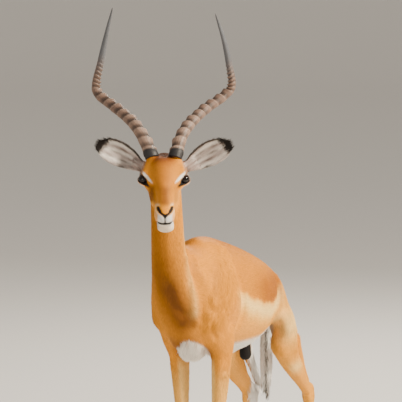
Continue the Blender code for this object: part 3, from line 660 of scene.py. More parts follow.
# Strokes under the hide: (axes, paired, radius, height, points). A negative height is a groove.
STROKES = [
    ("body", False, 0.011, 0.0055, mm((19, -123, 858), (47, -140, 813), (70, -131, 765), (86, -118, 715))),
    ("body", False, 0.01, 0.006, mm((27, -200, 866), (33, -186, 809), (43, -191, 735), (45, -167, 668))),
    ("body", False, 0.011, -0.0065, mm((26, -160, 860), (44, -168, 800), (60, -160, 740),
        (62, -145, 680))),
    ("body", False, 0.016, -0.007, mm((-8, -250, 790), (0, -228, 725), (20, -205, 700))),
    ("body", True, 0.011, 0.005, mm((59, 60, 862), (93, 30, 809), (106, 48, 740), (108, 62, 700))),
    ("body", True, 0.011, -0.006, mm((66, 88, 852), (98, 66, 800), (110, 85, 735), (108, 92, 680),
        (98, 80, 625))),
    ("body", True, 0.012, 0.0035, mm((90, -95, 690), (92, -60, 650), (88, -10, 600))),
    ("body", True, 0.01, -0.0045, mm((105, -119, 705), (89, -128, 655), (84, -86, 612))),
    ("body", True, 0.01, -0.004, mm((98, 20, 640), (94, 40, 600), (88, 50, 560))),
    ("body", True, 0.014, -0.0055, mm((118, 400, 620), (108, 440, 680), (88, 480, 735))),
    ("body", True, 0.014, 0.004, mm((110, 485, 610), (104, 505, 675), (80, 530, 730))),
    ("body", True, 0.01, -0.0035, mm((120, 600, 640), (128, 620, 570), (124, 630, 520))),
    ("body", True, 0.012, 0.003, mm((130, 560, 560), (134, 535, 530))),
    ("body", True, 0.009, -0.003, mm((130, 160, 760), (138, 180, 690), (130, 200, 630))),
    ("body", True, 0.009, -0.0025, mm((132, 220, 750), (140, 240, 680), (132, 260, 620))),
    ("head", True, 0.01, -0.004, mm((34, -190, 1080), (42, -170, 980), (48, -140, 890))),
    ("head", True, 0.008, -0.0035, mm((26, -372, 1090), (24, -400, 1068), (24, -425, 1048))),
    ("head", True, 0.007, 0.002, mm((40, -352, 1070), (32, -380, 1050))),
    ("head", True, 0.022, -0.0055, mm((0, -285, 1178), (8, -300, 1172))),
]

# Dark lines of the muzzle as seen from the front, each side alike: the comma of the nostril
# runs down to the middle, the groove of the lip hangs from there, and the mouth crosses it.
MUZZLE_LINES = [
    (0.0052, 0.0032, mm((19.5, 1030.5), (18.5, 1026.5), (15.5, 1022.5))),
    (0.0036, 0.0018, mm((16, 1021.5), (10.5, 1015.8), (5, 1012), (0, 1010))),
    (0.0046, 0.001, mm((2, 1010), (0, 1007))),
    (0.0026, 0.0012, mm((0, 1009), (0, 988))),
    (0.0036, 0.002, mm((0, 986.2), (11, 986.6), (22.5, 990.5))),
]
MUZZLE_START = -0.405


def near_line(points, line):
    """Least distance from each point to a polyline."""
    best = np.full(len(points), np.inf)
    for start, stop in zip(line[:-1], line[1:]):
        run = stop - start
        t = np.clip((points - start) @ run / (run @ run), 0.0, 1.0)
        best = np.minimum(best, np.linalg.norm(points - start - t[:, None] * run, axis=1))
    return best


def model_strokes(points, normals):
    """Raise ridges and press grooves: each stroke falls off as a bell from its line."""
    lift = np.zeros(len(points))
    for axes, paired, radius, height, marks in STROKES:
        place = body_place if axes == "body" else head_place
        for mirror in ((1.0, -1.0) if paired else (1.0,)):
            line = smooth_rows(place(mirror * marks[:, 0], marks[:, 1], marks[:, 2]), 4)
            lift += height * np.exp(-(near_line(points, line) / radius) ** 2)
    return points + normals * lift[:, None]


def ease(value, low, high):
    """0 below low, 1 above high and a smooth rise between."""
    share = np.clip((value - low) / (high - low), 0.0, 1.0)
    return share * share * (3.0 - 2.0 * share)


def below(value, edge, soft):
    """1 where the value is below the edge by more than `soft`, 0 above the edge."""
    return ease(edge - value, 0.0, soft)


def muzzle_dark(points):
    """Share of each dark line of the muzzle at each point (0 to 1), one column per line."""
    x, y, z = head_sizes(points)
    spots = np.stack([np.abs(x - NOSE_SHIFT), z], axis=-1)
    shares = [1.0 - ease(near_line(spots, line), 0.55 * half, 1.35 * half)
              for half, _, line in MUZZLE_LINES]
    return np.stack(shares, axis=-1) * (y < MUZZLE_START)[:, None]


skin_points = model_strokes(skin_points, skin_normals)
press = muzzle_dark(skin_points) @ np.array([line[1] for line in MUZZLE_LINES])
skin_points = skin_points - skin_normals * np.minimum(press, 0.0035)[:, None]
skin_normals = point_normals(skin_points, skin_quads)

# ---------------------------------------------------------------------------------------------
# Markings, the same for skin and coat: rufous saddle with a sharp lower edge, tan neck and
# thighs, pale flanks, white belly, dark-tipped ears, striped tail and rump, and a masked face.
# Over them lie painted shade in the throat, chest, armpits, groin and flank folds, beside the
# nose and on the neck's side away from the key light, and painted light on the outer thigh and gaskin.
TAN = paint("#DB8C1A")
SADDLE = paint("#9C5600")
FLANK = paint("#F6B54C")
CREAM = paint("#FFD88A")
UMBER = paint("#5E3210")
WHITE = paint("#F1EAE0")
BLACK = paint("#17110E")
SKIN_BLACK = paint("#141112")
CROWN = paint("#9A5420")
NOSE_STRIPE = paint("#6E3C18")
MUZZLE_GREY = paint("#D8D2CC")
EAR_GREY = paint("#B9A9A2")


def tint(colour, other, share):
    """Blend a colour in by its share at each point."""
    return colour + (other - colour) * share[:, None]


def layers_on(colour):
    """A function that lays one more paint over the colours, by its share at each point."""
    def lay(other, share):
        colour[:] = tint(colour, other, share)
    return lay


def bell(value, centre, radius):
    """1 at the centre, falling off smoothly to both sides."""
    return np.exp(-((value - centre) / radius) ** 2)


def sac_zone(across, along, height, top, soft):
    """1 on the scrotum, below a height that eases over `soft`."""
    return below(height, top, soft) * below(np.abs(across), 0.034, 0.008) \
        * ease(along, 0.425, 0.435) * below(along, 0.495, 0.01)


def tail_zone(across, along, height, start, stop):
    """1 on the tail, which begins between two places along the body."""
    return ease(along, start, stop) * ease(0.062 - np.abs(across + 0.016), 0.0, 0.006) \
        * ease(height, 0.20, 0.25)


def body_markings_and_painted_shading(points, normals):
    """Colours of the trunk, neck and legs: markings, with painted shade in hollows and folds and on the
    neck's side away from the key light, and painted light on the outer thigh.
    """
    across, along, height = body_sizes(points)
    side = np.abs(across)
    back = normals @ BODY_BACK
    outward = normals @ BODY_SIDE * np.sign(across)
    colour = np.tile(TAN, (len(points), 1))
    lay = layers_on(colour)
    trunk = ease(along, 0.02, 0.14) * below(along, 0.60, 0.10)
    edge = np.interp(along, (0.02, 0.05, 0.14, 0.22, 0.29, 0.36, 0.42, 0.50),
                     (0.775, 0.752, 0.712, 0.690, 0.676, 0.672, 0.684, 0.715))
    edge = edge + 0.003 * np.sin(along * 70.0) + 0.002 * np.sin(along * 173.0)
    under = 1.0 - ease(height, edge - 0.014, edge + 0.008)
    lay(FLANK, trunk * under * (1.0 - 0.75 * ease(edge - 0.035 - height, 0.0, 0.05)))
    lay(CREAM, 0.70 * bell(height, edge - 0.026, 0.022) * trunk * under)
    saddle = ease(height, edge - 0.008, edge + 0.010) * ease(along, 0.02, 0.12)
    deep = 0.30 + 0.60 * ease(along, 0.12, 0.30) * below(height, 0.800, 0.08)
    lay(SADDLE, saddle * (1.0 - 0.60 * ease(along, 0.44, 0.58)) * deep)
    lay(SADDLE, 0.55 * bell(side, 0.0, 0.045) * ease(height, 0.74, 0.80) * ease(along, -0.05, 0.05))
    belly = ease(0.580 - height + 0.02 * ease(along, 0.30, 0.45), 0.0, 0.022) * ease(height, 0.45, 0.48) \
        * ease(along, 0.06, 0.12) * below(along, 0.54, 0.05) \
        * (1.0 - ease(along, 0.38, 0.44) * ease(side, 0.035, 0.060))
    lay(WHITE, belly)
    # Painted shade: umber darkens the lower front of the chest between the forelegs.
    chest = below(height, 0.655, 0.06) * below(side, 0.060, 0.03) * below(along, 0.02, 0.05)
    lay(UMBER, 0.70 * chest * ease(height, 0.52, 0.54))
    tuft = ease(0.033 - np.hypot(across - 0.018, 0.85 * (height - 0.580)), 0.0, 0.010) \
        * below(along, 0.03, 0.04)
    tuft = np.maximum(tuft, ease(0.020 - np.hypot(across + 0.016, 0.85 * (height - 0.572)), 0.0, 0.010)
                      * below(along, 0.03, 0.04))
    lay(WHITE, 0.92 * tuft)
    # Painted shade: umber darkens the armpits behind the forelegs.
    armpit = bell(side, 0.052, 0.014) * bell(height, 0.560, 0.030) * below(along, 0.09, 0.04)
    lay(UMBER, 0.55 * armpit)
    inner = ease(-outward, 0.15, 0.70) * ease(height, 0.16, 0.30) * below(height, 0.56, 0.06)
    lay(CREAM, 0.60 * inner * (1.0 - 0.8 * ease(along, 0.40, 0.46)))
    # Painted shade: the inner thigh and groin, white on the animal, are painted grey-brown as if in deep
    # shade.
    groin = ease(-outward, 0.0, 0.5) * ease(along, 0.44, 0.50) * ease(height, 0.46, 0.56) \
        * below(height, 0.64, 0.05) * below(side, 0.085, 0.03)
    lay(paint("#9C8B7A"), 0.9 * groin)
    # Painted shade: umber in the gap between the belly and the thigh.
    cleft = ease(-outward - back, 0.2, 0.9) * bell(along, 0.490, 0.030) * bell(height, 0.575, 0.045)
    lay(UMBER, 0.30 * cleft)
    # Painted shade: a light umber band along the flank fold.
    fold = bell(along - 0.35 * (height - 0.60), 0.475, 0.022) * bell(height, 0.610, 0.060) \
        * ease(side, 0.03, 0.07)
    lay(UMBER, 0.15 * fold)
    # Painted highlight: a pale cream spot on the outer gaskin above the hock.
    gaskin = bell(height, 0.436, 0.024) * ease(outward, 0.0, 0.4) * bell(along, 0.600, 0.050)
    lay(CREAM, 0.75 * gaskin)
    withers = bell(side, 0.0, 0.030) * ease(height, 0.80, 0.86)
    lay(SADDLE, 0.30 * withers)
    # Painted light: cream brightens the outer top of the thigh, which faces the key light, and the hollow
    # under the flank fold in front of it.
    lay(CREAM, 0.70 * bell(along, 0.555, 0.065) * bell(height, 0.592, 0.050) * ease(outward, 0.0, 0.5))
    lay(CREAM, 0.55 * bell(along, 0.495, 0.035) * bell(height, 0.575, 0.040) * ease(side, 0.04, 0.07))
    lay(CREAM, 0.30 * below(height, 0.54, 0.10) * below(along, 0.30, 0.1))
    hip = bell(along, 0.500, 0.060) * bell(height, 0.700, 0.050) * ease(side, 0.03, 0.08)
    lay(SADDLE, 0.75 * hip)
    flank_top = bell(along, 0.420, 0.060) * bell(height, 0.715, 0.030) * ease(side, 0.03, 0.08)
    lay(UMBER, 0.16 * flank_top)
    seat = ease(back, 0.30, 0.75) * ease(along, 0.60, 0.66) * ease(height, 0.50, 0.60)
    lay(WHITE, seat * below(side, 0.060, 0.02))
    lay(BLACK, seat * bell(side, 0.058, 0.006) * ease(height, 0.54, 0.60))
    knee = below(height, 0.34, 0.10)
    lay(FLANK, 0.55 * knee + 0.25 * below(height, 0.52, 0.08))
    lay(CREAM, 0.5 * knee * ease(back, 0.2, 0.8))
    gland = ease(back, 0.10, 0.60) * bell(height, 0.140, 0.026) * ease(along, 0.60, 0.65)
    lay(BLACK, gland)
    pastern = below(height, 0.060, 0.012)
    lay(BLACK, 0.7 * pastern)
    sac = sac_zone(across, along, height, 0.548, 0.008)
    lay(SKIN_BLACK, sac)
    tail_out = tail_zone(across, along, height, 0.695, 0.712)
    dock = ease(height, 0.68, 0.715)
    plume = tint(np.tile(paint("#FFFCF6"), (len(points), 1)), BLACK,
                 0.90 * bell(across, -0.0175, 0.0045) * below(height, 0.66, 0.05))
    plume = tint(plume, SADDLE, dock)
    lay(plume, tail_out)
    _, y, z = head_sizes(points)
    # Painted shade: umber darkens the hollow down the front of the neck to its base, less towards the head.
    hollow = head_place((0.002, 0.014, 0.034, 0.056), (-0.250, -0.232, -0.215, -0.200),
                        (0.860, 0.780, 0.722, 0.675))
    throat = np.exp(-(near_line(points, hollow) / 0.052) ** 2) * (1.0 - 0.75 * ease(z, 0.76, 0.90))
    lay(UMBER, np.clip(0.95 * throat, 0.0, 0.9))
    neck_edge = body_place((0.031, 0.040, 0.050), (-0.205, -0.190, -0.180), (0.960, 0.820, 0.700))
    edge_light = np.exp(-(near_line(points, neck_edge) / 0.016) ** 2)
    lay(CREAM, 0.28 * edge_light * (y < -0.12))
    # Painted shade: umber darkens neck surfaces that face minus x, away from the key light.
    lay(UMBER, 0.38 * ease(-normals[:, 0], 0.1, 0.8) * ease(z, 0.70, 0.85) * ease(-along, 0.10, 0.16)
        * below(z, 1.06, 0.04))
    return colour


def face_markings_and_painted_shading(points, normals, colour):
    """Colours of the head, laid over what the body gives, with painted shade on one side of the nose
    bridge.
    """
    x, y, z = head_sizes(points)
    x = x - NOSE_SHIFT * ease(-y, 0.33, 0.44)
    side = np.abs(x)
    head = ease((y + 0.250) * -0.955 + (z - 1.085) * 0.295, -0.020, 0.020)
    front = -normals[:, 1]
    face = np.tile(TAN, (len(points), 1))
    lay = layers_on(face)
    lay(FLANK, 0.35 * below(z, 1.09, 0.06) * ease(side, 0.020, 0.034))
    lay(CROWN, 0.80 * ease(z, 1.135, 1.160) * below(side, 0.045, 0.02))
    lay(UMBER, 0.85 * ease(z, 1.150, 1.162) * below(side, 0.032, 0.015))
    lay(CROWN, 0.5 * ease(front, 0.0, 0.5) * bell(side, 0.0, 0.030) * ease(z, 1.06, 1.10))
    lay(NOSE_STRIPE, 0.80 * ease(front, -0.1, 0.3) * bell(side, 0.0, 0.018) * below(z, 1.098, 0.02)
        * ease(z, 1.030, 1.046))
    for mirror in SIDES.values():
        reach, rise, out = eye_offsets(points, mirror)
        near = ease(out, -0.012, 0.0)
        upper_inner = ease(bell(reach, -0.014, 0.028) * bell(rise - 0.06 * reach, 0.0162, 0.0042), 0.2, 0.7)
        lower_patch = bell(reach, -0.004, 0.022) * bell(rise, -0.0205, 0.0066)
        lay(WHITE, np.clip(near * (upper_inner + 0.95 * lower_patch), 0.0, 1.0))
        rim = np.sqrt((reach / 0.0290) ** 2 + (rise / 0.0122) ** 2)
        lay(SKIN_BLACK, near * below(rim, 1.12, 0.18))
        duct = bell(reach, -0.0310, 0.0085) * bell(rise, -0.0010, 0.0048)
        wing = bell(reach, 0.0290, 0.0110) * bell(rise, 0.0020, 0.0060)
        lay(SKIN_BLACK, np.clip(near * (duct + wing) * 1.3, 0.0, 1.0))
    lip = np.minimum(1.0215 + 0.35 * (y + 0.46), 1.0085 + 0.40 * side)
    lay(MUZZLE_GREY, ease(lip - z, -0.001, 0.006) * ease(-y, 0.385, 0.410)
        * (1.0 - 0.85 * ease(side, 0.0175, 0.0240) * ease(z, 0.988, 0.994)))
    spots = np.stack([side, z], axis=-1)
    rim = bell(near_line(spots, MUZZLE_LINES[0][2]), 0.0085, 0.0030)
    lay(paint("#F0E2CC"), 0.45 * rim * ease(-y, 0.40, 0.42) * ease(side, 0.012, 0.020))
    lay(paint("#CFAE8C"), 0.8 * below(z, 0.985, 0.012) * ease(-y, 0.34, 0.38))
    lay(paint("#E3D2BC"), 0.7 * below(z, 0.985, 0.010) * ease(-y, 0.300, 0.330))
    lay(FLANK, 0.55 * bell(z, 1.032, 0.010) * ease(side, 0.008, 0.020) * ease(-y, 0.40, 0.43))
    # Dark brown streaks either side of the nose bridge: real streaks, with the one on the animal's right
    # painted darker as painted shade.
    bridge = (0.85 * bell(x, -0.036, 0.010) + 0.35 * bell(x, 0.034, 0.008)) \
        * ease(z, 1.030, 1.045) * below(z, 1.098, 0.02)
    lay(paint("#6E3C08"), bridge)
    lay(SKIN_BLACK, np.clip(muzzle_dark(points).sum(axis=-1), 0.0, 1.0))
    return tint(colour, face, head)


def ear_place(points, ear):
    """Share along an ear, place across it (-1 to 1) and distance from its middle line."""
    away = points[:, None, :] - ear["line"][None]
    nearest = np.argmin((away ** 2).sum(axis=2), axis=1)
    offset = away[np.arange(len(points)), nearest]
    across = (offset * ear["across"][nearest]).sum(axis=1) / ear["half"][nearest]
    return nearest / (len(ear["line"]) - 1), across, np.linalg.norm(offset, axis=1)


def ear_markings(points, normals, colour):
    """Tan back, white and grey hollow with dark rays, black tip and thin dark rim."""
    x, _, z = head_sizes(points)
    for name, mirror in SIDES.items():
        ear = EARS[name]
        mine = np.flatnonzero((x * mirror > 0.050) & (z > 1.10))
        if not len(mine):
            continue
        share, across, _ = ear_place(points[mine], ear)
        upper = across * np.sign(ear["across"][8, 2])
        hollow = ease(-(normals[mine] @ np.array((0.0, 1.0, 0.0))), -0.15, 0.25)
        mottle = np.sin(across * 9.0 + share * 7.0)
        inside = tint(np.tile(WHITE, (len(mine), 1)), EAR_GREY, 0.60 + 0.35 * mottle)
        rays = (bell(upper, 0.42, 0.13) + bell(upper, -0.05, 0.11) + bell(upper, -0.48, 0.10)) \
            * ease(share, 0.12, 0.25) * below(share, 0.78, 0.12)
        rays = rays * (0.50 + 0.25 * np.sin(share * 23.0 + across * 5.0))
        inside = tint(inside, paint("#4A342C"), np.clip(rays, 0.0, 1.0))
        inside = tint(inside, paint("#8C746C"), 0.65 * (1.0 - ease(share, 0.15, 0.45)))
        outside = tint(np.tile(TAN, (len(mine), 1)), EAR_GREY, 0.35 * ease(share, 0.2, 0.6))
        leaf = tint(outside, inside, hollow)
        lay = layers_on(leaf)
        rim = ease(np.abs(across), 0.78, 0.92) * ease(upper, -0.2, 0.4)
        lay(paint("#241710"), 0.92 * rim * ease(share, 0.05, 0.2))
        lay(BLACK, ease(share + 0.05 * upper, 0.76, 0.84))
        lay(BLACK, 0.8 * bell(share, 0.46, 0.07) * ease(-upper, 0.82, 0.95))
        lay(BLACK, 0.8 * bell(share, 0.06, 0.05) * hollow * ease(-upper, -0.6, 0.2))
        on_ear = ease(x[mine] * mirror + 0.35 * (z[mine] - 1.13), 0.056, 0.066)
        colour[mine] = tint(colour[mine], leaf, on_ear)
    return colour


def markings_and_painted_shading(points, normals):
    """Linear colours at points of the skin, whose outward directions are given: markings with painted shade
    and painted light over them.
    """
    colour = body_markings_and_painted_shading(points, normals)
    colour = face_markings_and_painted_shading(points, normals, colour)
    return np.clip(ear_markings(points, normals, colour), 0.0, 1.0)


def store_colours(mesh, colours):
    """Keep one colour for each point in the attribute that the materials read."""
    layer = mesh.attributes.new("coat_colour", "FLOAT_COLOR", "POINT")
    layer.data.foreach_set("color", np.column_stack([colours, np.ones(len(colours))]).astype(
        np.float32).ravel())


def coat_material(name, roughness, mottle, sheen):
    """Sleek hair: marking colours with painted shade and light, lightly mottled, with a soft velvety edge
    light.
    """
    material, shader = new_material(name)
    shader.inputs["Roughness"].default_value = roughness
    shader.inputs["Specular IOR Level"].default_value = 0.14
    shader.inputs["Sheen Weight"].default_value = sheen
    shader.inputs["Sheen Roughness"].default_value = 0.45
    shader.inputs["Sheen Tint"].default_value = (1.0, 0.88, 0.72, 1.0)
    colour = add_node(material, "ShaderNodeAttribute", {"attribute_name": "coat_colour"})
    place = add_node(material, "ShaderNodeTexCoord")
    noise = add_node(material, "ShaderNodeTexNoise", {"Scale": 38.0, "Detail": 4.0},
                     {"Vector": (place, "Object")})
    spread = add_node(material, "ShaderNodeMapRange", {"To Min": 1.0 - mottle, "To Max": 1.0 + mottle},
                      {"Value": (noise, "Fac")})
    mix = add_node(material, "ShaderNodeVectorMath", {"operation": "SCALE"},
                   {"Vector": (colour, "Color"), "Scale": (spread, "Result")})
    feed(material, shader, {"Base Color": (mix, "Vector")})
    return material, shader, place


def hide_material():
    """The hide under the hair: as the coat, with a fine bump of hair streaks."""
    material, shader, place = coat_material("short_sleek_hide", 0.62, 0.10, 0.02)
    fine = add_node(material, "ShaderNodeTexNoise", {"Scale": 420.0, "Detail": 3.0},
                    {"Vector": (place, "Object")})
    bump = add_node(material, "ShaderNodeBump", {"Strength": 0.35, "Distance": 0.0008},
                    {"Height": (fine, "Fac")})
    feed(material, shader, {"Normal": (bump, "Normal")})
    return material


skin = new_mesh("skin", skin_points, skin_quads, hide_material())
store_colours(skin.data, markings_and_painted_shading(skin_points, skin_normals))
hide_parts("trunk", "neck", "head", "ear_left", "ear_right", "tail", "scrotum",
            *[f"{leg}_{part}_{side}" for leg in ("foreleg", "hindleg") for part in ("upper", "lower")
              for side in SIDES])
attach(skin, "root")

# ---------------------------------------------------------------------------------------------
# Eyes: dark brown globes with a level, oval pupil, wet all over.
def eye_material():
    """Wet cornea over an almost black iris."""
    material, shader = new_material("wet_brown_eye")
    shader.inputs["Roughness"].default_value = 0.06
    shader.inputs["IOR"].default_value = 1.38
    colour = add_node(material, "ShaderNodeAttribute", {"attribute_name": "coat_colour"})
    feed(material, shader, {"Base Color": (colour, "Color")})
    return material


EYE_RINGS, EYE_SIDES = 40, 48


def globe(name, mirror, material):
    """A ball in rings round its line of sight, with iris and pupil by angle from that line."""
    seat, outward, long_axis, short_axis = eye_axes(mirror)
    tilt = np.radians(np.linspace(3.0, 177.0, EYE_RINGS))[:, None]
    turn = full_turn(EYE_SIDES)[None, :]
    swell = 1.0 + 0.035 * np.exp(-(tilt / 0.5) ** 2)
    points = seat + EYE_RADIUS * swell[..., None] * (
        np.cos(tilt)[..., None] * outward + (np.sin(tilt) * np.cos(turn))[..., None] * long_axis
        + (np.sin(tilt) * np.sin(turn))[..., None] * short_axis * mirror)
    pupil = np.sqrt((np.sin(tilt) * np.cos(turn) / 0.50) ** 2 + (np.sin(tilt) * np.sin(turn) / 0.24) ** 2)
    colours = np.tile(paint("#160A06"), (pupil.size, 1))
    colours = tint(colours, paint("#050303"), ease(1.15 - pupil.ravel(), 0.0, 0.25))
    outer = np.broadcast_to(ease(tilt, 0.95, 1.15), pupil.shape).ravel()
    colours = tint(colours, paint("#120B08"), outer)
    poles = seat + EYE_RADIUS * np.stack([1.035 * outward, -outward])
    faces = tube_faces(EYE_RINGS, EYE_SIDES, mirror > 0)
    made = new_mesh(name, np.vstack([points.reshape(-1, 3), poles]), faces, material)
    store_colours(made.data, np.vstack([colours, colours[0], colours[-1]]))
    return made


def cap_faces(rows, columns, start, stop):
    """Fans that close both ends of a tube: each quad joins a middle point to three of the rim."""
    k = np.arange(0, columns, 2)
    first = np.stack([np.full_like(k, start), (k + 2) % columns, k + 1, k], axis=-1)
    last = (rows - 1) * columns
    second = np.stack([np.full_like(k, stop), last + k, last + k + 1, last + (k + 2) % columns], axis=-1)
    return np.vstack([first, second])


def tube_faces(rows, columns, flip):
    """Side and both ends of a tube whose two middle points come last, turned over by flip."""
    middle = rows * columns
    quads = np.vstack([grid_faces(rows, columns), cap_faces(rows, columns, middle, middle + 1)])
    return quads[:, ::-1] if flip else quads


eye_surface = eye_material()
for name, mirror in SIDES.items():
    eye = globe("eyeball_" + name, mirror, eye_surface)
    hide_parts("eye_" + name)
    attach(eye, "root")

# ---------------------------------------------------------------------------------------------
# Lie of the coat: down the neck and legs, backwards over the trunk, out along the ears, and up
# the face from the nose. Each point takes it from the forms that it lies on.
EAR_FORMS = [{"centre": ear["line"], "side": ear["across"], "rise": ear["front"], "tangent": ear["tangent"],
              "wide": ear["half"] + 0.003, "deep": ear["cup"] + 0.005, "lie": 1.0} for ear in EARS.values()]
COAT_FORMS = FORMS + EAR_FORMS
SHEET_CELLS = 6
# Length, width and lift in radians of each kind of tuft.
TRUNK_TUFT = (0.0145, 0.0030, 0.24)
LEG_TUFT = (0.0080, 0.0019, 0.20)
VELVET_TUFT = (0.0040, 0.0011, 0.16)
FAN_TUFT = (0.0130, 0.0013, 0.17)
TAIL_LOCK = (0.0300, 0.0030, 0.20)
BRISKET_LOCK = (0.0260, 0.0030, 0.45)


def form_fields(points):
    """Lie of the coat at each point, and its place on the unwrapped hide.

    The lie is the sum over forms of exp(-depth / 10 mm) times the form's own direction. The
    unwrap gives each form one cell of a square sheet: turn round it across, length along it up.
    """
    total = np.zeros_like(points)
    least = np.full(len(points), np.inf)
    sheet = np.full((len(points), 2), 0.5)
    for number, form in enumerate(COAT_FORMS):
        size = max(form["wide"].max(), form["deep"].max()) + 0.03
        near = np.flatnonzero(np.all((points > form["centre"].min(axis=0) - size)
                                     & (points < form["centre"].max(axis=0) + size), axis=1))
        away = points[near][:, None, :] - form["centre"][None]
        j = np.argmin((away ** 2).sum(axis=2), axis=1)
        away = away[np.arange(len(near)), j]
        u = (away * form["side"][j]).sum(axis=1) / form["wide"][j]
        v = (away * form["rise"][j]).sum(axis=1) / form["deep"][j]
        thin = np.minimum(form["wide"][j], form["deep"][j])
        w = (away * form["tangent"][j]).sum(axis=1) / thin
        depth = (np.sqrt(u * u + v * v + w * w) - 1.0) * thin
        total[near] += np.exp(-depth / 0.010)[:, None] * form["tangent"][j] * form["lie"]
        closer = depth < least[near]
        mine = near[closer]
        least[mine] = depth[closer]
        turn = np.arctan2(u, v)[closer] / (2.0 * np.pi) + 0.5
        share = (j[closer] + np.clip(w[closer], -0.5, 0.5) * 0.5) / len(form["centre"])
        cell = np.array((number % SHEET_CELLS, number // SHEET_CELLS))
        place = np.stack([turn, np.clip(share, 0.0, 1.0)], axis=-1)
        sheet[mine] = (cell + 0.03 + 0.94 * place) / SHEET_CELLS
    return unit(total), sheet


skin_lie = unit(relax(form_fields(skin_points)[0], skin_quads, 0.6, 8))
skin_corners = skin_points[skin_quads]
skin_areas = 0.5 * np.linalg.norm(np.cross(skin_corners[:, 2] - skin_corners[:, 0],
                                           skin_corners[:, 3] - skin_corners[:, 1]), axis=1)


def strew(weight, count, seed):
    """Roots strewn over the hide by area times weight: place, outward way, lie and chances."""
    chances = np.random.default_rng(seed)
    odds = skin_areas * weight[skin_quads].mean(axis=1)
    faces = chances.choice(len(skin_quads), size=count, p=odds / odds.sum())
    a, b = chances.random((2, count))
    share = np.stack([(1 - a) * (1 - b), a * (1 - b), a * b, (1 - a) * b], axis=1)
    picked = skin_quads[faces]
    roots, outward, lie = (np.einsum("nk,nkd->nd", share, values[picked])
                           for values in (skin_points, skin_normals, skin_lie))
    return roots, unit(outward), lie, chances


def tuft_mesh(name, roots, outward, lie, length, width, lift, material, rings=1, droop=0.0, shade=0.10,
              chances=None, colours=None, soft=0.8):
    """Closed tufts of three-sided section, each running from its root to a point.

    place(t) = root + length * t * (lie cos lift + outward sin lift (1 - 0.35 t)) - droop t^2 up,
    and the half width shrinks as (1 - t)^0.7. Tufts are flat: a third as thick as wide.
    """
    count = len(roots)
    along = lie - outward * (lie * outward).sum(axis=1, keepdims=True)
    turned = np.cross(outward, unit(along))
    swing = chances.normal(0.0, 0.16, count)[:, None]
    along = unit(unit(along) + turned * swing)
    across = np.cross(outward, along)
    length = length * chances.uniform(0.70, 1.20, count)
    width = width * chances.uniform(0.75, 1.25, count)
    lift = lift * chances.uniform(0.65, 1.20, count)
    stops = np.array([0.0, 0.35, 0.70][:rings])[None, :, None, None]
    turn = np.radians(np.array([90.0, 210.0, 330.0]))[None, None, :, None]

    def path(t):
        run = length[:, None, None, None] * t
        rise = outward[:, None, None, :] * np.sin(lift)[:, None, None, None] * (1.0 - 0.35 * t)
        return (roots[:, None, None, :] + run * (along[:, None, None, :]
                                                 * np.cos(lift)[:, None, None, None] + rise)
                - droop * t ** 2 * UP)

    half = 0.5 * width[:, None, None, None] * (1.0 - stops) ** 0.7
    body = path(stops) + half * (across[:, None, None, :] * np.cos(turn)
                                 + outward[:, None, None, :] * (np.sin(turn) * 0.45 - 0.30))
    tip = path(np.ones((1, 1, 1, 1)))
    points = np.concatenate([body.reshape(count, -1, 3), tip.reshape(count, 1, 3)], axis=1)
    faces = [(0, 2, 1)]
    for i in range(rings - 1):
        for k in range(3):
            a, b = 3 * i + k, 3 * i + (k + 1) % 3
            faces += [(a, b, b + 3), (a, b + 3, a + 3)]
    last = 3 * (rings - 1)
    faces += [(last + k, last + (k + 1) % 3, last + 3) for k in range(3)]
    faces = np.array(faces)
    each = 3 * rings + 1
    all_faces = (faces[None] + each * np.arange(count)[:, None, None]).reshape(-1, 3)
    thing = new_mesh(name, points.reshape(-1, 3), all_faces, material)
    if colours is None:
        colours = markings_and_painted_shading(roots, outward)
    tone = np.exp(chances.normal(0.0, shade, count))[:, None, None]
    fade = np.concatenate([np.repeat(0.86 + 0.12 * stops.ravel(), 3), [1.06]])[None, :, None]
    store_colours(thing.data, np.clip(colours[:, None, :] * tone * fade, 0.0, 1.0).reshape(-1, 3))
    own = np.repeat(outward[:, None, :], each, axis=1)
    spread = np.concatenate([np.tile(np.cos(turn).ravel(), rings), [0.0]])[None, :, None]
    normals = unit(own * soft + (1.0 - soft) * (across[:, None, :] * spread + 0.3 * along[:, None, :]))
    thing.data.normals_split_custom_set_from_vertices(normals.reshape(-1, 3).astype(np.float32))
    sheet = form_fields(roots)[1]
    patch = np.concatenate([np.stack([np.tile((0.0, -1.0, 1.0), rings),
                                      np.repeat(-1.0 + 1.5 * stops.ravel(), 3)
                                      + np.tile((0.35, 0.0, 0.0), rings)], axis=-1), [[0.0, 1.0]]])
    spots = (sheet[:, None, :] + 0.0015 * patch[None]).reshape(-1, 2)
    layer = thing.data.uv_layers.new(name="OFBake")
    layer.data.foreach_set("uv", spots[all_faces.ravel()].astype(np.float32).ravel())
    return thing


def dress(thing):
    """Hang a coat piece on the animal."""
    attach(thing, "root")


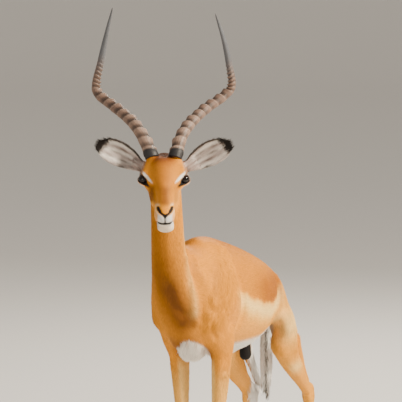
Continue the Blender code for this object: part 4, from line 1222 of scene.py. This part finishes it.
def regions(points):
    """Where each kind of coat grows, as weights at the points of the hide."""
    across, along, height = body_sizes(points)
    x, y, z = head_sizes(points)
    skull = ease((y + 0.250) * -0.955 + (z - 1.085) * 0.295, -0.012, 0.012)
    ears = ease(np.abs(x) + 0.35 * (z - 1.13), 0.062, 0.068) * ease(z, 1.10, 1.12)
    bare = np.zeros(len(points))
    for mirror in SIDES.values():
        reach, rise, out = eye_offsets(points, mirror)
        oval = np.hypot(reach / 0.0225, rise / 0.0105)
        bare = np.maximum(bare, (oval < 1.0) & (out > -0.004))
    bare = np.maximum(bare, muzzle_dark(points).max(axis=-1) > 0.3)
    tail = tail_zone(across, along, height, 0.690, 0.700)
    sac = sac_zone(across, along, height, 0.545, 0.006)
    legs = below(height, 0.47, 0.06) * (1.0 - tail) * (1.0 - sac)
    rest = (1.0 - skull) * (1.0 - tail) * (1.0 - sac)
    hoofs = ease(height, 0.044, 0.050)
    return {"face": skull * (1.0 - ears) * (1.0 - bare), "ears": ears * (1.0 - bare), "tail": tail,
            "legs": legs * (1.0 - skull) * hoofs, "body": rest * (1.0 - legs) * (1.0 - ears)}


grows = regions(skin_points)
neck_share = ease(-body_sizes(skin_points)[1], 0.02, 0.10)

# Coat of the trunk and neck: sleek, close hair about 14 mm long, in flat pointed tufts.
sleek_hair, _, _ = coat_material("sleek_guard_hair", 0.58, 0.07, 0.02)
for name, weight, count, seed in (("trunk_coat_fore", grows["body"] * neck_share, 42000, 11),
                                  ("trunk_coat_mid", grows["body"] * (1.0 - neck_share), 43000, 12),
                                  ("trunk_coat_over", grows["body"] * (1.0 - neck_share), 43000, 13)):
    roots, outward, lie, chances = strew(weight, count, seed)
    dress(tuft_mesh(name, roots, outward, lie, *TRUNK_TUFT, sleek_hair, chances=chances))

# Coat of the legs: shorter and tighter, about 8 mm.
roots, outward, lie, chances = strew(grows["legs"], 36000, 21)
dress(tuft_mesh("leg_coat", roots, outward, lie, *LEG_TUFT, sleek_hair, chances=chances))

# Coat of the face: the shortest, about 5 mm, growing up from the nose.
roots, outward, lie, chances = strew(grows["face"], 36000, 31)
near_nose = ease(-head_sizes(roots)[1], 0.390, 0.430)
dress(tuft_mesh("face_coat", roots, outward, lie, 0.0055 * (1.0 - 0.60 * near_nose),
                0.0012 * (1.0 - 0.25 * near_nose), 0.22, sleek_hair, chances=chances, shade=0.08))

# Ears: short velvet outside, and inside long pale hairs that fan from the root to the rim.
roots, outward, lie, chances = strew(grows["ears"], 15000, 41)
front = -outward[:, 1] > 0.2
dress(tuft_mesh("ear_velvet", roots[~front], outward[~front], lie[~front], *VELVET_TUFT, sleek_hair,
                chances=chances, shade=0.08))
ear_hair, _, _ = coat_material("pale_ear_hair", 0.60, 0.04, 0.02)
inner = np.flatnonzero(front)[:5500]
fan = unit(lie[inner] + np.array((0.0, 0.0, 0.30)))
dress(tuft_mesh("ear_fan_hair", roots[inner], outward[inner], fan, *FAN_TUFT, ear_hair, rings=2,
                chances=chances, shade=0.12))

# Tail: long white locks either side of a black middle line, hanging to a soft point.
tail_hair, _, _ = coat_material("tail_hair", 0.62, 0.04, 0.10)
roots, outward, lie, chances = strew(grows["tail"], 6000, 51)
dress(tuft_mesh("tail_locks", roots, outward, unit(lie + 0.6 * -UP), *TAIL_LOCK, tail_hair,
                rings=3, droop=0.003, chances=chances, shade=0.07))

# Brisket: a two-lobed white tuft of longer hair between the forelegs.
x, y, z = body_sizes(skin_points)
large_lobe = ease(0.028 - np.hypot(x - 0.018, 0.85 * (z - 0.580)), 0.0, 0.008)
small_lobe = ease(0.015 - np.hypot(x + 0.016, 0.85 * (z - 0.572)), 0.0, 0.008)
brisket = np.maximum(large_lobe, small_lobe) * ease(-y, 0.0, 0.04)
roots, outward, lie, chances = strew(brisket, 2000, 61)
x = body_sizes(roots)[0]
lobes = unit(lie * 0.4 - UP * 0.9 - BODY_BACK * 0.5 + BODY_SIDE * np.sign(x - 0.018)[:, None] * 0.25)
dress(tuft_mesh("brisket_tuft", roots, outward, lobes, *BRISKET_LOCK, tail_hair, rings=3,
                droop=0.006, chances=chances, shade=0.09))

# ---------------------------------------------------------------------------------------------
# Horns: lyre-shaped sheaths of keratin over a bony core. The lower two thirds carry raised,
# slanting rings that stand proud on their upper side; beyond them the horn is smooth and grey.
HORN_LINES = {
    "right": mm((34.5, -299, 1163), (40, -292, 1177), (66.8, -260, 1229), (101, -213, 1268),
        (154, -156, 1307), (196, -120, 1338), (203, -115, 1372), (187.5, -128, 1440),
        (171.2, -153, 1513), (151.7, -180, 1594.4)),
    "left": mm((31.8, -299, 1163), (36, -292, 1177), (52, -260, 1225), (81, -212, 1263),
        (125, -156, 1300), (176, -118, 1334), (198.5, -114, 1365), (188.6, -128, 1433),
        (172.2, -153, 1505), (148.5, -180, 1577)),
}
HORN_THICKNESS = [(0.0, 0.0200), (0.06, 0.0196), (0.25, 0.0170), (0.5, 0.0152), (0.62, 0.0118),
                  (0.8, 0.0080), (0.92, 0.0048), (0.99, 0.0018), (1.0, 0.0006)]
HORN_RINGS = 18
RINGED_SHARE = 0.74
HORN_SIDES = 56
RING_RELIEF = 0.0052
RING_SLANT = 0.014


def at_share(line, share, stops):
    """Points of a line at given shares of its length."""
    return np.stack([np.interp(stops, share, line[:, i]) for i in range(3)], axis=-1)


def horn_surface(name, mirror):
    """Path times turn: half width = thickness + relief * saw(slanted share), in whole arrays.

    The saw climbs over four fifths of a ring and falls over the last fifth, and its height
    follows the side of the horn, so that the rings stand out in front and fade behind.
    """
    line = smooth_rows(HORN_LINES[name], 40)
    steps = np.linalg.norm(np.diff(line, axis=0), axis=1)
    share = np.concatenate([[0.0], np.cumsum(steps)]) / steps.sum()
    ringed = RINGED_SHARE + 0.04
    stops = np.concatenate([np.linspace(0.0, ringed, 420), np.linspace(ringed, 1.0, 90)[1:]])
    centre = at_share(line, share, stops)
    tangent = unit(at_share(line, share, np.clip(stops + 0.01, 0, 1))
                   - at_share(line, share, np.clip(stops - 0.01, 0, 1)))
    side = unit(np.cross(tangent, np.array((0.0, 1.0, 0.3))))
    rise = np.cross(tangent, side)
    turn = full_turn(HORN_SIDES)
    size = np.interp(stops, *zip(*HORN_THICKNESS))[:, None]
    slanted = stops[:, None] + RING_SLANT * (np.cos(turn) * 0.5 - np.sin(turn) * 0.4)[None]
    pace = np.clip(slanted / RINGED_SHARE, 0.0, 1.2)
    count = HORN_RINGS * np.interp(pace, (0.0, 0.76, 1.0, 1.2), (0.0, 0.55, 1.0, 1.4))
    phase = count - np.floor(count)
    saw = np.where(phase < 0.78, (phase / 0.78) ** 1.6, (1.0 - phase) / 0.22)
    wander = 0.5 + 0.5 * np.sin(np.floor(count) * 2.4 + turn[None] * 2.0)
    fade = ease(slanted, 0.022, 0.045) * (1.0 - ease(slanted, RINGED_SHARE - 0.09, RINGED_SHARE + 0.01))
    relief = RING_RELIEF * (0.65 + 0.35 * wander) * saw * fade * (0.62 + 0.48 * np.cos(turn))[None]
    ripple = 0.0003 * np.sin(turn * 17.0)[None] * (0.3 + 0.7 * fade)
    reach = size + (relief - 0.35 * RING_RELIEF * fade + ripple) * np.minimum(size / 0.013, 1.0)
    reach = reach + 0.0012 * bell(slanted, 0.02, 0.012)
    points = centre[:, None, :] + reach[..., None] * (
        np.cos(turn)[None, :, None] * side[:, None, :]
        + 1.06 * np.sin(turn)[None, :, None] * rise[:, None, :])
    grey = ease(slanted, RINGED_SHARE - 0.14, RINGED_SHARE + 0.02)
    colour = np.tile(paint("#836A5B"), (*points.shape[:2], 1))
    lay = layers_on(colour.reshape(-1, 3))
    lay(paint("#5E4539"), (0.65 * ease(slanted, 0.10, 0.40)).ravel())
    # Painted shade in the grooves between the rings, and a painted highlight on the ring crests.
    groove = 0.95 * (1.0 - ease(saw, 0.02, 0.50)) * fade * (0.75 + 0.25 * np.cos(turn))
    lay(paint("#2A1B14"), groove.ravel())
    lay(paint("#A8988A"), (0.22 * ease(saw, 0.75, 1.0) * fade).ravel())
    lay(paint("#505257"), grey.ravel())
    lay(paint("#0C0E14"), (0.97 * (1.0 - ease(slanted, 0.030, 0.046))).ravel())
    lay(paint("#2B2B2F"), (0.7 * ease(slanted, 0.90, 1.0)).ravel())
    points = head_place(mirror * points[..., 0], points[..., 1], points[..., 2]).reshape(-1, 3)
    ends = np.stack([points[:HORN_SIDES].mean(axis=0), points[-HORN_SIDES:].mean(axis=0)])
    colour = np.vstack([colour.reshape(-1, 3), colour[0, 0], colour[-1, -1]])
    return np.vstack([points, ends]), colour, len(stops)


def horn_material():
    """Keratin: the stored colours mottled by noise, roughness varied by the same noise, and a fine noise
    bump.
    """
    material, shader = new_material("ringed_keratin")
    colour = add_node(material, "ShaderNodeAttribute", {"attribute_name": "coat_colour"})
    place = add_node(material, "ShaderNodeTexCoord")
    coarse = add_node(material, "ShaderNodeTexNoise", {"Scale": 55.0, "Detail": 6.0},
                      {"Vector": (place, "Object")})
    spread = add_node(material, "ShaderNodeMapRange", {"To Min": 0.72, "To Max": 1.28},
        {"Value": (coarse, "Fac")})
    mix = add_node(material, "ShaderNodeVectorMath", {"operation": "SCALE"},
                   {"Vector": (colour, "Color"), "Scale": (spread, "Result")})
    rough = add_node(material, "ShaderNodeMapRange", {"To Min": 0.46, "To Max": 0.70},
        {"Value": (coarse, "Fac")})
    fine = add_node(material, "ShaderNodeTexNoise", {"Scale": 320.0, "Detail": 4.0},
        {"Vector": (place, "Object")})
    bump = add_node(material, "ShaderNodeBump", {"Strength": 0.5, "Distance": 0.0008},
        {"Height": (fine, "Fac")})
    feed(material, shader, {"Base Color": (mix, "Vector"), "Roughness": (rough, "Result"),
                            "Normal": (bump, "Normal")})
    return material


keratin = horn_material()
for name, mirror in SIDES.items():
    points, colours, rows = horn_surface(name, mirror)
    horn = new_mesh("horn_sheath_" + name, points, tube_faces(rows, HORN_SIDES, mirror < 0), keratin)
    store_colours(horn.data, colours)
    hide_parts("horn_" + name)
    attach(horn, "root")

# ---------------------------------------------------------------------------------------------
# Hooves: two narrow black claws to a foot, flat below, with growth rings parallel to the hair
# line and a slightly rounded lower edge.
CORONET = 0.045
CLAW_SPREAD = 0.0112
CLAW_SIDES = 48


def claw_surface(place, across_axis, back_axis, inner):
    """Height times turn: a pointed oval whose half sizes shrink from sole to hair line."""
    height = np.concatenate([[0.0, 0.0008, 0.0024], np.linspace(0.005, CORONET + 0.004, 40)])
    turn = full_turn(CLAW_SIDES)
    stops = (0.0, 0.010, CORONET, CORONET + 0.004)
    half_length = np.interp(height, stops, (0.0335, 0.0320, 0.0215, 0.0190))
    half_width = np.interp(height, stops, (0.0102, 0.0102, 0.0095, 0.0085))
    shift = np.interp(height, stops, (-0.012, -0.011, -0.001, 0.000))
    edge = np.interp(height, (0.0, 0.0008, 0.0024), (-0.0016, -0.0006, 0.0))
    rings = 0.00028 * np.sin(height * 1500.0) * ease(height, 0.004, 0.010) \
        * ease(CORONET - height, 0.0, 0.01)
    along = np.cos(turn)
    across = np.sin(turn) * (1.0 - 0.45 * np.maximum(-along, 0.0) ** 2)
    flat = np.where(across * inner > 0, 0.80, 1.0)
    wide = (half_width + edge + rings)[:, None] * (across * flat)[None]
    long = (half_length + edge + rings)[:, None] * along[None] + shift[:, None]
    points = place + wide[..., None] * across_axis + long[..., None] * back_axis
    points = (points + height[:, None, None] * UP).reshape(-1, 3)
    ends = [points[:CLAW_SIDES].mean(axis=0), points[-CLAW_SIDES:].mean(axis=0)]
    return np.vstack([points, *ends]), len(height)


def hoof_material():
    """Black horn with brownish patches where a noise grain rises."""
    material, shader = new_material("black_hoof_horn")
    place = add_node(material, "ShaderNodeTexCoord")
    grain = add_node(material, "ShaderNodeTexNoise", {"Scale": 90.0, "Detail": 6.0},
        {"Vector": (place, "Object")})
    ramp = add_node(material, "ShaderNodeValToRGB", None, {"Fac": (grain, "Fac")})
    ramp.color_ramp.elements[0].color = (*paint("#0E0B0A"), 1.0)
    ramp.color_ramp.elements[1].color = (*paint("#3A2E27"), 1.0)
    ramp.color_ramp.elements[0].position = 0.42
    rough = add_node(material, "ShaderNodeMapRange", {"To Min": 0.28, "To Max": 0.55},
        {"Value": (grain, "Fac")})
    bump = add_node(material, "ShaderNodeBump", {"Strength": 0.4, "Distance": 0.0006},
        {"Height": (grain, "Fac")})
    feed(material, shader, {"Base Color": (ramp, "Color"), "Roughness": (rough, "Result"),
                            "Normal": (bump, "Normal")})
    return material


hoof_horn = hoof_material()
for name, mirror in SIDES.items():
    ground = {"front": (mirror * FORELEG[-1][0], FORELEG[-1][1], BODY_SIDE),
              "hind": (HIND_FEET[name][0], HIND_FEET[name][1], hind_side(mirror))}
    for end, (across, along, axis) in ground.items():
        for half, inner in (("a", 1.0), ("b", -1.0)):
            place = body_place(across, along, 0.0) - axis * (inner * CLAW_SPREAD)
            points, rows = claw_surface(place, axis, np.cross(UP, axis), inner)
            faces = tube_faces(rows, CLAW_SIDES, True)
            claw = new_mesh(f"claw_{end}_{name}_{half}", points, faces, hoof_horn)
            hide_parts(f"hoof_{end}_{name}_{half}")
            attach(claw, "root")
